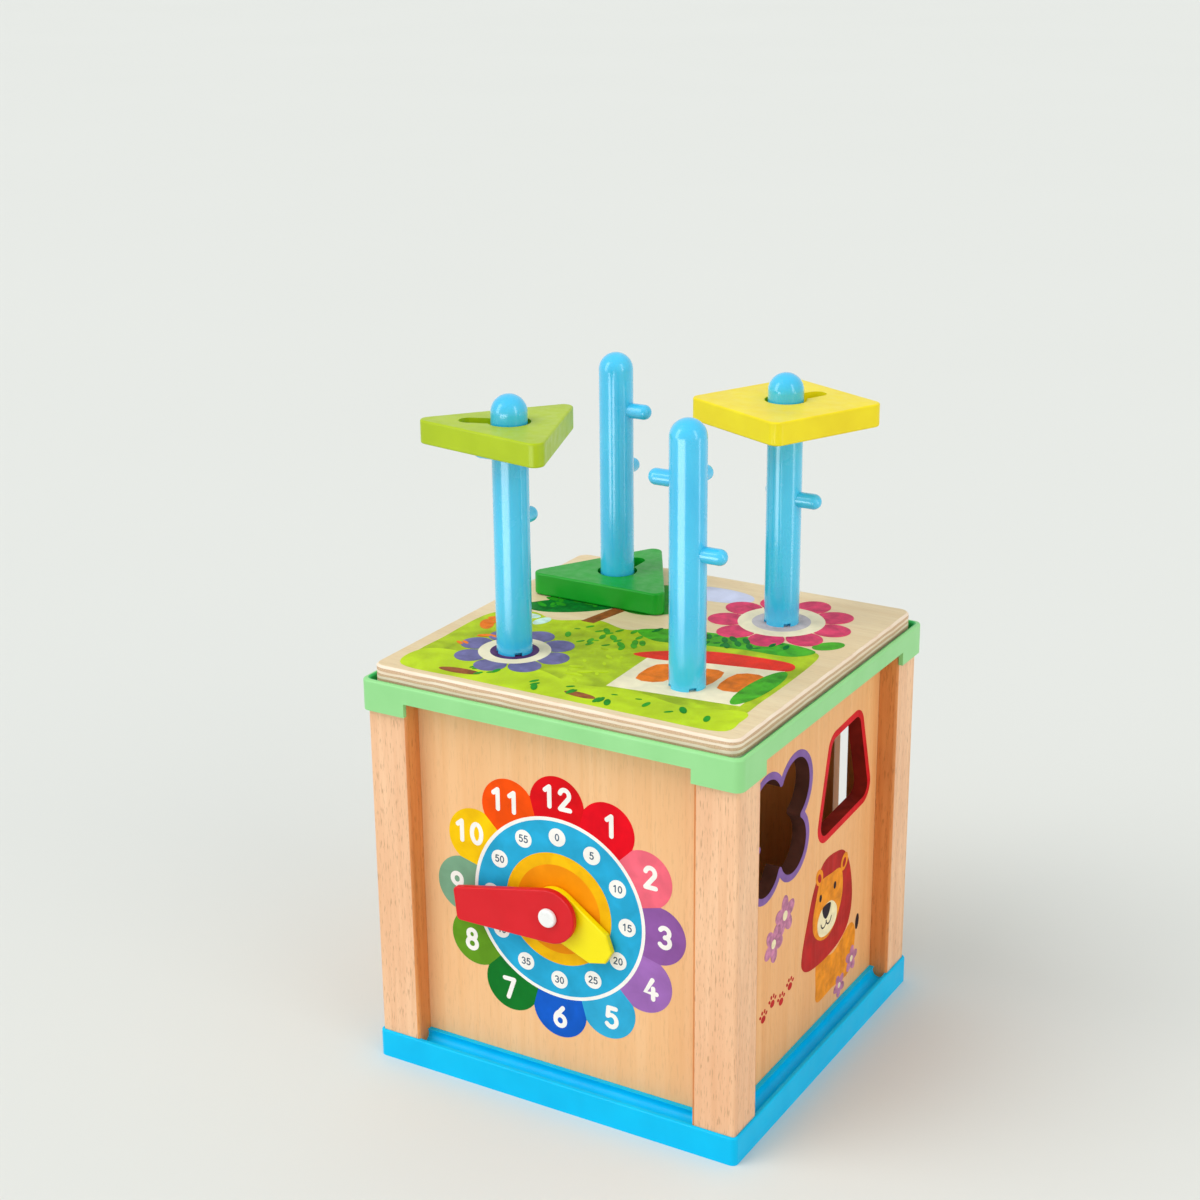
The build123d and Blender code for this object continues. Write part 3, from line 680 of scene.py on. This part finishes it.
MINUTE_FILM = 0.17
PETAL_COLOURS = {
    1: (232, 4, 28),
    2: (246, 108, 128),
    3: (144, 90, 164),
    4: (160, 108, 184),
    5: (50, 172, 216),
    6: (18, 92, 200),
    7: (16, 118, 40),
    8: (98, 152, 32),
    9: (124, 170, 138),
    10: (254, 200, 4),
    11: (246, 80, 2),
    12: (220, 8, 20),
}

# Each figure is its pen strokes in a frame one high and 0.56 wide.
FIGURES = {
    "0": [bow(0.28, 0.5, 0.27, 0.5, 0, 360, 24)],
    "1": [[(0.1, 0.8), (0.34, 1.0)], [(0.34, 1.0), (0.34, 0.0)]],
    "2": [bow(0.27, 0.73, 0.25, 0.27, 165, -35) + [(0.02, 0.0)], [(0.02, 0.0), (0.56, 0.0)]],
    "3": [bow(0.25, 0.75, 0.25, 0.25, 150, -85), bow(0.25, 0.26, 0.28, 0.27, 80, -150)],
    "4": [[(0.38, 1.0), (0.0, 0.3), (0.6, 0.3)], [(0.42, 0.56), (0.42, 0.0)]],
    "5": [
        [(0.5, 1.0), (0.1, 1.0)],
        [(0.1, 1.0), (0.06, 0.55)],
        bow(0.25, 0.31, 0.29, 0.32, 132, -145),
    ],
    "6": [
        [(0.44, 1.0)] + bow(0.56, 0.34, 0.55, 0.5, 125, 180, 6),
        bow(0.28, 0.29, 0.27, 0.29, 0, 360, 20),
    ],
    "7": [[(0.02, 1.0), (0.56, 1.0)], [(0.56, 1.0), (0.22, 0.0)]],
    "8": [bow(0.28, 0.76, 0.22, 0.24, 0, 360, 20), bow(0.28, 0.26, 0.27, 0.27, 0, 360, 20)],
    "9": [
        bow(0.28, 0.71, 0.27, 0.29, 0, 360, 20),
        [(0.55, 0.7)] + bow(0.0, 0.66, 0.55, 0.5, 0, -55, 6),
    ],
}
FIGURE_WIDTH = 0.56
FIGURE_GAP = 1.45
STROKE_FILM = 0.015


def figures(number, middle_u, middle_v, height, pen, level, finish):
    """The ink shapes of a number centred on a point; strokes lie over one another."""
    shapes = []
    pitch = FIGURE_WIDTH * height + FIGURE_GAP * pen
    left = middle_u - (len(number) - 1) * pitch / 2 - FIGURE_WIDTH * height / 2
    for place, figure in enumerate(number):
        for order, stroke in enumerate(FIGURES[figure]):
            start = left + place * pitch
            points = [(start + u * height, middle_v + (v - 0.5) * height) for u, v in stroke]
            shapes.append((pen_stroke(points, pen), level + STROKE_FILM * order, finish))
    return shapes


def ring(radius, steps=96):
    return bow(0, 0, radius, radius, 0, 360, steps)[:-1]


def on_ring(radius, hour):
    """A point on the dial at the place of an hour."""
    angle = math.radians(90 - 30 * hour)
    return radius * math.cos(angle), radius * math.sin(angle)


def petal(hour):
    """One lobe of the flower: a round end between its neighbours, down to the dial."""
    outer = []
    for step in range(PETAL_STEPS + 1):
        aside = math.radians(-15 + 30 * step / PETAL_STEPS)
        reach = PETAL_RING * math.cos(aside)
        reach += math.sqrt(PETAL_RADIUS ** 2 - (PETAL_RING * math.sin(aside)) ** 2)
        outer.append(on_ring(reach, hour + math.degrees(aside) / 30))
    root = [on_ring(DIAL_RADIUS - 1, hour + 0.5 - step / 4) for step in range(5)]
    return outer + root


white_ink = ink("white_ink", (248, 246, 240), 0.03)
dial_blue = ink("dial_blue_ink", (40, 170, 216), 0.07)
sun_yellow = ink("sun_yellow_ink", (255, 190, 10), 0.08)
sun_orange = ink("sun_orange_ink", (255, 150, 8), 0.1, patch=14)
figure_grey = ink("figure_grey_ink", (70, 96, 118), 0.1)

discs = ((DIAL_RADIUS, white_ink), (DIAL_RADIUS - RIM_WIDTH, dial_blue))
discs += ((SUN_RADIUS, sun_yellow), (SUN_CORE, sun_orange))
print_shapes = []
for layer, (radius, finish) in enumerate(discs):
    print_shapes.append(([ring(radius)], DIAL_FILM + layer * FILM_STEP, finish))
for hour, colour in PETAL_COLOURS.items():
    print_shapes.append(([petal(hour)], PETAL_FILM, ink(f"petal_ink_{hour:02d}", colour, 0.07)))
    middle = on_ring(HOUR_RING, hour)
    print_shapes += figures(str(hour), *middle, HOUR_HEIGHT, HOUR_PEN, HOUR_FILM, white_ink)
    middle = on_ring(DOT_RING, hour)
    minutes = str(hour % 12 * 5)
    print_shapes += figures(minutes, *middle, MINUTE_HEIGHT, MINUTE_PEN, MINUTE_FILM, figure_grey)
settle(ink_piece("clock_print", ON_DIAL, print_shapes), "box", "panel_wood")


def number_inputs(tree, inputs):
    """Names a tree's inputs and gives its mesh output."""
    kinds = {int: "NodeSocketInt", float: "NodeSocketFloat"}
    for label, value in inputs.items():
        kind = kinds.get(type(value), "NodeSocketMaterial")
        tree.interface.new_socket(label, in_out="INPUT", socket_type=kind)
    tree.interface.new_socket("Geometry", in_out="OUTPUT", socket_type="NodeSocketGeometry")


def grown(name, tree, inputs, surface):
    """Runs a tree once and keeps its result as a plain mesh on a surface."""
    seed = bpy.data.objects.new(f"{name}_seed", bpy.data.meshes.new(f"{name}_seed"))
    bpy.context.scene.collection.objects.link(seed)
    grower = seed.modifiers.new("grower", "NODES")
    grower.node_group = tree
    for item in tree.interface.items_tree:
        if item.in_out == "INPUT" and item.name in inputs:
            grower[item.identifier] = inputs[item.name]
    bpy.context.view_layer.update()
    result = seed.evaluated_get(bpy.context.evaluated_depsgraph_get())
    mesh = bpy.data.meshes.new_from_object(result)
    bpy.data.objects.remove(seed)
    mesh.name = name
    mesh.transform(surface)
    return bpy.data.objects.new(name, mesh)


def ring_tree(name, inputs):
    """Flat oval dabs, evenly spaced on a circle, each with its long side outwards."""
    tree = bpy.data.node_groups.new(name, "GeometryNodeTree")
    number_inputs(tree, inputs)
    given = tree_node(tree, "NodeGroupInput").outputs
    sizes = {"X": given["Half length"], "Y": given["Half width"], "Z": given["Thickness"]}
    size = tree_node(tree, "ShaderNodeCombineXYZ", sizes)
    disc = tree_node(tree, "GeometryNodeMeshCylinder", {"Vertices": 28, "Radius": 1.0, "Depth": 1.0})
    shaped = {"Geometry": disc.outputs["Mesh"], "Scale": size.outputs[0]}
    dab = tree_node(tree, "GeometryNodeTransform", shaped)
    around = {"Vertices": given["Count"], "Radius": given["Ring radius"]}
    circle = tree_node(tree, "GeometryNodeMeshCircle", around)
    share = tree_node(tree, "ShaderNodeMath", {0: math.tau, 1: given["Count"]}, operation="DIVIDE")
    index = tree_node(tree, "GeometryNodeInputIndex")
    turns = {0: index.outputs[0], 1: share.outputs[0]}
    turn = tree_node(tree, "ShaderNodeMath", turns, operation="MULTIPLY")
    facing = tree_node(tree, "ShaderNodeCombineXYZ", {"Z": turn.outputs[0]})
    spots = {"Points": circle.outputs[0], "Instance": dab.outputs[0], "Rotation": facing.outputs[0]}
    dabs = tree_node(tree, "GeometryNodeInstanceOnPoints", spots)
    real = tree_node(tree, "GeometryNodeRealizeInstances", {"Geometry": dabs.outputs[0]})
    inked = {"Geometry": real.outputs[0], "Material": given["Finish"]}
    finish = tree_node(tree, "GeometryNodeSetMaterial", inked)
    tree_node(tree, "NodeGroupOutput", {"Geometry": finish.outputs[0]})
    return tree


dot_sizes = {
    "Count": 12,
    "Ring radius": DOT_RING * MM,
    "Half length": DOT_RADIUS * MM,
    "Half width": DOT_RADIUS * MM,
    "Thickness": 0.3 * MM,
    "Finish": white_ink,
}
ring_of_dabs = ring_tree("ring_of_dabs", dot_sizes)
settle(grown("minute_dots", ring_of_dabs, dot_sizes, ON_DIAL), "box", "panel_wood")

# Clock works: a white headed pin through the panel, grey washers, a push-on nut inside,
# and two flat moulded hands that turn on the pin: yellow for hours, red for minutes.
white_plastic = moulded("white_plastic", (246, 246, 244), (236, 238, 238), 0.25, 0.3, 0.5)
grey_plastic = moulded("grey_plastic", (150, 154, 158), (138, 142, 148), 0.4)
red_plastic = moulded("red_plastic", (220, 20, 34), (208, 14, 26), 0.34, 0.1, 0.2)
yellow_plastic = moulded("yellow_plastic", (250, 236, 0), (244, 224, 0), 0.34, 0.1, 0.2)
kept("clock_pin", white_plastic)
kept("clock_washers", grey_plastic)
kept("clock_nut", grey_plastic)
kept("hour_hand", yellow_plastic)
kept("minute_hand", red_plastic)

# Sorting panel print: a lion with a deep red mane, two mauve flowers, and a row of paw
# prints under them. Screen-printed in several passes over the varnish.
MANE = [(12, 85.5), (24, 85.5), (33, 82), (39, 72), (41.7, 58), (39, 47.5), (31, 42), (16, 40)]
MANE += [(0, 41.5), (-7, 46), (-7, 53), (-3, 64), (3, 77)]
HEAD = [(9, 78), (20, 77.5), (29, 76), (31.5, 69), (30.5, 61), (25, 53), (17.5, 49.5), (10, 51)]
HEAD += [(4, 56), (2.5, 63), (5, 71)]
LION_BODY = [(8, 43), (24, 39), (40, 45), (46, 40), (45, 30), (40, 21.5), (24, 22.5), (9, 22.5), (7, 30)]
MUZZLE = [(11, 64.5), (20, 65), (26, 59.5), (24.5, 53), (17, 50.8), (9.5, 53), (7, 59.5)]
NOSE = [(12, 65), (19.5, 64.5), (18.5, 60.5), (15.5, 58.6), (12.6, 61)]
MOUTH_PEN = 0.7
PAW_FILM = 0.08


def smooth_loop(corners, steps=6):
    """A closed flowing outline through a few points."""
    outline = []
    count = len(corners)
    for place in range(count):
        a, b, c, d = (Vector(corners[(place + shift) % count]) for shift in (-1, 0, 1, 2))
        for step in range(steps):
            t = step / steps
            spot = 2 * b + (c - a) * t + (2 * a - 5 * b + 4 * c - d) * t * t
            spot += (3 * b - a - 3 * c + d) * t ** 3
            outline.append(tuple(spot / 2))
    return outline


def oval(middle_u, middle_v, reach_u, reach_v, turn=0.0, steps=28):
    """An oval outline, turned by an angle in degrees."""
    cosine, sine = math.cos(math.radians(turn)), math.sin(math.radians(turn))
    plain = bow(0, 0, reach_u, reach_v, 0, 360, steps)[:-1]
    return [(middle_u + u * cosine - v * sine, middle_v + u * sine + v * cosine) for u, v in plain]


def flower(middle_u, middle_v, reach, turn, level, petals, heart):
    """A five-petalled flower with a small heart."""
    shapes = []
    away, long, broad, core = 0.6 * reach, 0.52 * reach, 0.38 * reach, 0.26 * reach
    for step in range(5):
        angle = turn + 360 / 5 * step
        u = middle_u + away * math.cos(math.radians(angle))
        v = middle_v + away * math.sin(math.radians(angle))
        shapes.append(([oval(u, v, long, broad, angle)], level + 0.01 * step, petals))
    shapes.append(([oval(middle_u, middle_v, core, core)], level + 0.07, heart))
    return shapes


def paw_print(middle_u, middle_v, size, finish):
    """One pad and four toes."""
    pad = oval(middle_u, middle_v - 0.1 * size, 0.42 * size, 0.34 * size)
    shapes = [([pad], PAW_FILM, finish)]
    toe_ring = 0.68 * size
    for angle in (150, 110, 70, 30):
        u = middle_u + toe_ring * math.cos(math.radians(angle))
        v = middle_v - 0.05 * size + toe_ring * math.sin(math.radians(angle))
        shapes.append(([oval(u, v, 0.2 * size, 0.15 * size, angle)], PAW_FILM, finish))
    return shapes


mane_red = ink("mane_red_ink", (186, 38, 34), 0.12)
lion_orange = ink("lion_orange_ink", (248, 148, 34), 0.14, patch=5)
cream_ink = ink("cream_ink", (246, 232, 190), 0.08, patch=4)
nose_ink = ink("nose_ink", (38, 30, 40), 0.2)
mauve_ink = ink("mauve_ink", (196, 128, 160), 0.2, patch=3)
paw_red = ink("paw_red_ink", (196, 40, 40), 0.08)

lion = [([smooth_loop(LION_BODY)], 0.05, lion_orange)]
lion.append(([smooth_loop(MANE)], 0.08, mane_red))
lion.append(([smooth_loop(HEAD)], 0.11, lion_orange))
for u, v, turn in ((8, 80.5, 30), (32.5, 77.5, -35)):
    lion.append(([oval(u, v, 3.2, 4.0, turn)], 0.13, lion_orange))
    lion.append(([oval(u, v - 0.3, 1.5, 2.2, turn)], 0.15, mane_red))
lion.append(([smooth_loop(MUZZLE)], 0.14, cream_ink))
lion.append(([smooth_loop(NOSE)], 0.17, nose_ink))
for u in (9.5, 23.5):
    lion.append(([oval(u, 70.5, 1.2, 1.7)], 0.15, nose_ink))
for u, level in ((13.2, 0.16), (18.0, 0.165)):
    smile = bow(u, 58.2, 2.6, 2.8, 190, 350, 10)
    lion.append((pen_stroke(smile, MOUTH_PEN), level, nose_ink))
lion.append(([oval(48, 42.5, 1.8, 3.6, -8)], 0.06, nose_ink))
lion += flower(-24, 78, 8, 20, 0.06, mauve_ink, cream_ink)
lion += flower(-34, 70, 7.5, 60, 0.06, mauve_ink, cream_ink)
lion += flower(43, 27, 5.5, 10, 0.08, mauve_ink, cream_ink)
lion += flower(31, 20, 5.0, 45, 0.08, mauve_ink, cream_ink)
for step in range(4):
    lion += paw_print(-42 + 8 * step, 41 + (step % 2) * 3, 4.6, paw_red)
settle(ink_piece("sorting_panel_print", ON_SORTING, lion), "box", "panel_wood")

# Track sliders: a turned button inside and a painted knob outside, joined by a wooden pin
# that runs in the slot. The button keeps its bare waxed wood.
waxed_wood = wood("waxed_beech", (238, 204, 146), (222, 178, 112), "X", 0.3, 0.4, 0.38)
ENAMEL_CLOUDS = 18 * MM
ENAMEL_WEAR = 4 * MM
ORANGE_PEEL = 1.4 * MM


def painted(name, colour, shade, sheen=0.36):
    """Two coats of toy enamel on wood: soft orange peel and a little grain beneath."""
    finish = Finish(name, sheen, Coat_Weight=0.15, Coat_Roughness=0.12, Specular_IOR_Level=0.25)
    cloud = finish.spread(finish.noise(ENAMEL_CLOUDS, 3), 0.35, 0.7)
    finish.colour(finish.mix(cloud, tint(*colour), tint(*shade)))
    wear = finish.noise(ENAMEL_WEAR, 6, shift=(0.2, 0.5, 0.1))
    finish.gloss(finish.spread(wear, 0.3, 0.75, sheen - 0.06, sheen + 0.16))
    finish.relief(finish.noise(ORANGE_PEEL, 3), 0.05 * MM, 0.45)
    return finish.material


knob_paints = {
    "left": painted("orange_knob_enamel", (246, 140, 30), (238, 128, 22)),
    "right": painted("blue_knob_enamel", (40, 140, 210), (32, 130, 200)),
}
for side in ("left", "right"):
    kept(f"{side}_slider_pin", waxed_wood)
    kept(f"{side}_slider_nut", waxed_wood)
    kept(f"{side}_slider_knob", knob_paints[side])

# Lid board: nine-layer birch plywood, 10 mm thick, sanded and varnished, its layers bare
# at the edge. The peg side is printed, and four screws come up through it into the pegs.
board_low, board_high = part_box("lid_board")
ON_BOARD = Matrix.Translation((0, 0, board_high.z))
PLY_LAYERS = 9
LAYER_WAVER = 0.35 * MM
WAVER_LENGTH = 14 * MM
END_GRAIN_PORES = 0.5 * MM


def ply_edge():
    """Cut edge of plywood: pale long-grain layers between darker end-grain ones."""
    finish = Finish("ply_edge", 0.55)
    split = finish.node("ShaderNodeSeparateXYZ", {0: finish.place})
    wander = finish.noise(WAVER_LENGTH, 3, (1, 1, 4))
    waver = finish.spread(wander, 0.2, 0.8, -LAYER_WAVER, LAYER_WAVER)
    level = finish.maths("ADD", split.outputs[2], waver)
    layer = finish.spread(level, board_low.z, board_high.z, 0, PLY_LAYERS / 2)
    phase = finish.node("ShaderNodeMath", {0: layer}, operation="FRACT").outputs[0]
    end_grain = finish.spread(phase, 0.46, 0.54)
    glue_line = finish.spread(finish.maths("PINGPONG", phase, 0.5), 0.04, 0.0)
    pores = finish.noise(END_GRAIN_PORES, 3, (1, 1, 2.5))
    pale = finish.mix(finish.spread(wander, 0.3, 0.7), tint(247, 229, 208), tint(240, 216, 190))
    dark = finish.mix(finish.spread(pores, 0.4, 0.65), tint(226, 190, 156), tint(196, 152, 116))
    wood_tone = finish.mix(end_grain, pale, dark)
    finish.colour(finish.mix(finish.maths("MULTIPLY", glue_line, 0.5), wood_tone, tint(170, 122, 88)))
    finish.relief(finish.maths("MULTIPLY", pores, end_grain), 0.12 * MM, 0.5)
    return finish.material


birch_face = wood("birch_face", (234, 212, 172), (222, 192, 146), "X", 0.2, 0.4, 0.42)
board = finished("lid_board", ply_edge(), "lid_ply")
paint_faces(board, birch_face, lambda middle, facing: abs(facing.z) > ALONG)
kept("peg_screws", zinc)

# Garden print on the board: clouds, a tree, a house with a red roof, and two big flowers
# whose hearts lie round the feet of pegs, on a lawn. Brush-like dabs break up the greens.
PINK_HEART = (39, 41)
VIOLET_HEART = (-39, -41)
WHITE_RING = 0.86
INNER_DISC = 0.58
PETAL_LENGTH = 0.36
PETAL_BREADTH = 2.95

lilac_ink = ink("lilac_cloud_ink", (204, 208, 234), 0.1, patch=16)
tree_green = ink("tree_green_ink", (40, 148, 30), 0.16, patch=12)
leaf_green = ink("leaf_green_ink", (12, 116, 40), 0.2, patch=4)
grass_ink = ink("grass_ink", (172, 196, 26), 0.16, patch=10)
bush_ink = ink("bush_ink", (72, 168, 30), 0.2, patch=6)
lime_strip_ink = ink("lime_strip_ink", (186, 212, 24), 0.1, patch=14)
roof_ink = ink("roof_red_ink", (230, 50, 28), 0.12, patch=10)
wall_ink = ink("house_wall_ink", (240, 228, 196), 0.06, patch=8)
window_ink = ink("window_orange_ink", (238, 122, 20), 0.14, patch=6)
pink_ink = ink("flower_pink_ink", (216, 62, 104), 0.16, patch=6)
violet_ink = ink("flower_violet_ink", (112, 108, 158), 0.14, patch=6)
plum_ink = ink("flower_plum_ink", (84, 48, 104), 0.2, patch=5)
ash_ink = ink("flower_ash_ink", (196, 186, 190), 0.1, patch=6)
earth_ink = ink("earth_brown_ink", (150, 84, 40), 0.2, patch=4)
sky_dab = ink("pale_teal_ink", (196, 226, 216), 0.12, patch=4)

CLOUDS = [
    [(-70, 52), (-62, 62), (-50, 65), (-38, 63), (-34, 56), (-42, 49), (-56, 47)],
    [(-20, 57), (-12, 65), (2, 67), (14, 64), (17, 57), (8, 51), (-8, 50)],
]
TREE_CROWN = [(-34, 42), (-30, 55), (-18, 61), (-5, 57), (0, 45), (-4, 30), (-14, 21), (-26, 22), (-34, 30)]
TREE_SPRAY = [(-66, 8), (-58, 20), (-48, 34), (-36, 46), (-24, 52), (-22, 38), (-30, 22), (-42, 10), (-56, 4)]
GRASS = [(-72, -8), (-58, 2), (-44, -2), (-28, 6), (-12, 2), (4, 12), (20, 14), (40, 16), (58, 12), (68, 14)]
GRASS += [(71, 0), (71, -40), (68, -62), (40, -66), (0, -68), (-40, -66), (-70, -66), (-73, -40)]
GROUND = [(-73, -58), (-60, -52), (-40, -58), (-20, -54), (0, -60), (24, -56), (48, -60), (70, -54)]
GROUND += [(73, -64), (70, -75), (40, -76), (0, -76), (-40, -76), (-70, -75)]
ROOF = [(4, -21), (14, -12), (30, -4), (48, -1), (64, -1), (66, -9), (50, -13), (32, -17), (16, -22)]
HOUSE = [(11, -20), (30, -16), (50, -12), (65, -9), (66, -50), (12, -56)]
BUSHES = [(-8, 4), (6, 12), (24, 16), (46, 19), (66, 16), (60, 6), (40, 4), (20, 0), (4, -4)]

garden = [([smooth_loop(cloud)], 0.05, lilac_ink) for cloud in CLOUDS]
garden.append(([smooth_loop(GRASS)], 0.05, grass_ink))
garden.append(([smooth_loop(GROUND)], 0.07, lime_strip_ink))
garden.append(([smooth_loop(BUSHES)], 0.08, bush_ink))
garden.append(([smooth_loop(TREE_SPRAY)], 0.09, leaf_green))
garden.append(([smooth_loop(TREE_CROWN)], 0.1, tree_green))
garden.append(([[(-34, 2), (-28, 2), (-24, 22), (-30, 22)]], 0.08, earth_ink))
garden.append(([HOUSE], 0.11, wall_ink))
garden.append(([smooth_loop(ROOF)], 0.13, roof_ink))
for left, foot in ((18, -44), (34, -41), (50, -38)):
    pane = [(left, foot), (left + 11, foot + 2), (left + 11, foot + 19), (left, foot + 17)]
    garden.append(([smooth_loop(pane, 3)], 0.13, window_ink))
garden.append(([oval(68, 24, 7, 4.2, 50)], 0.09, bush_ink))
garden.append(([oval(64, -30, 5, 20, -4)], 0.14, bush_ink))
for u, v, turn in ((-64, -12, 10), (-57, -16, 70), (-66, -20, 120)):
    garden.append(([oval(u, v, 6, 3, turn)], 0.09, window_ink))
for u, v, turn in ((-56, -3, 10), (-48, -6, 80), (-62, -1, 60)):
    garden.append(([oval(u, v, 5, 2.8, turn)], 0.12, sky_dab))
garden.append(([oval(-46, -70, 9, 2.6, 6)], 0.1, earth_ink))
garden.append(([oval(8, -69, 7, 2.2, -4)], 0.1, earth_ink))

for heart, reach, middle in ((PINK_HEART, 21, ash_ink), (VIOLET_HEART, 17, plum_ink)):
    core = [(heart[0] + u, heart[1] + v) for u, v in ring(reach * WHITE_RING, 60)]
    inner = [(heart[0] + u, heart[1] + v) for u, v in ring(reach * INNER_DISC, 60)]
    garden.append(([core], 0.17, wall_ink))
    garden.append(([inner], 0.19, middle))
settle(ink_piece("garden_print", ON_BOARD, garden), "lid", "lid_ply")

for label, heart, count, radius, petal_ink in (
    ("pink", PINK_HEART, 9, 22.5, pink_ink),
    ("violet", VIOLET_HEART, 8, 18.0, violet_ink),
):
    sizes = dict(dot_sizes)
    sizes["Count"] = count
    sizes["Ring radius"] = radius * MM
    sizes["Half length"] = PETAL_LENGTH * radius * MM
    sizes["Half width"] = PETAL_BREADTH * radius / count * MM
    sizes["Finish"] = petal_ink
    at_heart = ON_BOARD @ Matrix.Translation((heart[0] * MM, heart[1] * MM, 0))
    settle(grown(f"{label}_flower_petals", ring_of_dabs, sizes, at_heart), "lid", "lid_ply")


DAB_LIFT = 0.05 * MM
DAB_TURN = (0.2, 2.2)
DAB_SCALE = (0.5, 1.3)


def dab_tree(name, inputs):
    """Brush dabs scattered over an oval patch, each turned and sized by chance."""
    tree = bpy.data.node_groups.new(name, "GeometryNodeTree")
    number_inputs(tree, inputs)
    given = tree_node(tree, "NodeGroupInput").outputs
    area = {"X": given["Patch length"], "Y": given["Patch width"], "Z": 1.0}
    extent = tree_node(tree, "ShaderNodeCombineXYZ", area)
    patch = tree_node(tree, "GeometryNodeMeshCircle", {"Vertices": 32, "Radius": 1.0}, fill_type="NGON")
    oval_patch = {"Geometry": patch.outputs[0], "Scale": extent.outputs[0]}
    ground = tree_node(tree, "GeometryNodeTransform", oval_patch)
    spots = {"Mesh": ground.outputs[0], "Density": given["Density"], "Seed": given["Seed"]}
    scatter = tree_node(tree, "GeometryNodeDistributePointsOnFaces", spots)
    lift_range = {2: 0.0, 3: DAB_LIFT, "Seed": given["Seed"]}
    lift = tree_node(tree, "FunctionNodeRandomValue", lift_range)
    rise = tree_node(tree, "ShaderNodeCombineXYZ", {"Z": lift.outputs[1]})
    raised = {"Geometry": scatter.outputs[0], "Offset": rise.outputs[0]}
    places = tree_node(tree, "GeometryNodeSetPosition", raised)
    turn_range = {2: DAB_TURN[0], 3: DAB_TURN[1], "Seed": given["Seed"]}
    turn = tree_node(tree, "FunctionNodeRandomValue", turn_range)
    facing = tree_node(tree, "ShaderNodeCombineXYZ", {"Z": turn.outputs[1]})
    size_range = {2: DAB_SCALE[0], 3: DAB_SCALE[1], "Seed": given["Seed"]}
    size = tree_node(tree, "FunctionNodeRandomValue", size_range)
    even = {"X": size.outputs[1], "Y": size.outputs[1], "Z": 1.0}
    spread = tree_node(tree, "ShaderNodeCombineXYZ", even)
    disc = tree_node(tree, "GeometryNodeMeshCylinder", {"Vertices": 14, "Radius": 1.0, "Depth": 1.0})
    sizes = {"X": given["Half length"], "Y": given["Half width"], "Z": given["Thickness"]}
    shape = tree_node(tree, "ShaderNodeCombineXYZ", sizes)
    shaped = {"Geometry": disc.outputs["Mesh"], "Scale": shape.outputs[0]}
    dab = tree_node(tree, "GeometryNodeTransform", shaped)
    strokes = {"Points": places.outputs[0], "Instance": dab.outputs[0], "Rotation": facing.outputs[0]}
    strokes["Scale"] = spread.outputs[0]
    dabs = tree_node(tree, "GeometryNodeInstanceOnPoints", strokes)
    real = tree_node(tree, "GeometryNodeRealizeInstances", {"Geometry": dabs.outputs[0]})
    inked = {"Geometry": real.outputs[0], "Material": given["Finish"]}
    finish = tree_node(tree, "GeometryNodeSetMaterial", inked)
    tree_node(tree, "NodeGroupOutput", {"Geometry": finish.outputs[0]})
    return tree


dab_sizes = {
    "Patch length": 20 * MM,
    "Patch width": 10 * MM,
    "Density": 60000.0,
    "Seed": 3,
    "Half length": 2.6 * MM,
    "Half width": 1.1 * MM,
    "Thickness": 0.26 * MM,
    "Finish": leaf_green,
}
brush_dabs = dab_tree("brush_dabs", dab_sizes)
for label, spot, turn, length, width, density, seed, dab_ink in (
    ("spray_dabs", (-44, 27), 42, 24, 8, 52000.0, 3, tree_green),
    ("meadow_dabs", (-14, -10), 8, 20, 12, 30000.0, 5, bush_ink),
    ("bush_dabs", (28, 10), 8, 32, 6, 40000.0, 7, leaf_green),
    ("flower_bed_dabs", (-4, -38), 90, 20, 9, 30000.0, 11, lime_strip_ink),
    ("blossom_dabs", (-60, -26), 90, 26, 6, 16000.0, 13, window_ink),
    ("lawn_dabs", (8, -66), 0, 58, 5, 20000.0, 17, tree_green),
):
    sizes = dict(dab_sizes)
    sizes["Patch length"] = length * MM
    sizes["Patch width"] = width * MM
    sizes["Density"] = density
    sizes["Seed"] = seed
    sizes["Finish"] = dab_ink
    at_spot = ON_BOARD @ Matrix.Translation((spot[0] * MM, spot[1] * MM, 0))
    swept = at_spot @ Matrix.Rotation(math.radians(turn), 4, "Z")
    settle(grown(label, brush_dabs, sizes, swept), "lid", "lid_ply")

# Pegs: four sky-blue plastic pegs, each moulded in one piece with its side knobs, polished
# and screwed on from below.
peg_plastic = moulded("sky_blue_plastic", (62, 202, 246), (44, 188, 238), 0.22, 1.0, 0.4, 0.14)
for corner in ("front_left", "front_right", "back_left", "back_right"):
    kept(f"peg_{corner}", peg_plastic)

# Keyhole shapes: sawn from 9.5 mm board, edges rounded over, and dipped in enamel: a green
# and a lime triangle and a yellow square.
for node, colour, shade in (
    ("green_triangle", (12, 164, 36), (8, 154, 30)),
    ("lime_triangle", (176, 200, 8), (166, 190, 4)),
    ("yellow_square", (244, 224, 14), (236, 212, 6)),
):
    kept(node, painted(f"{node}_enamel", colour, shade))

# The finished model's box beside the CAD box.
low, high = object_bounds()
sizes = {"cad": [list(cad_low), list(cad_high)], "visual": [list(low), list(high)]}
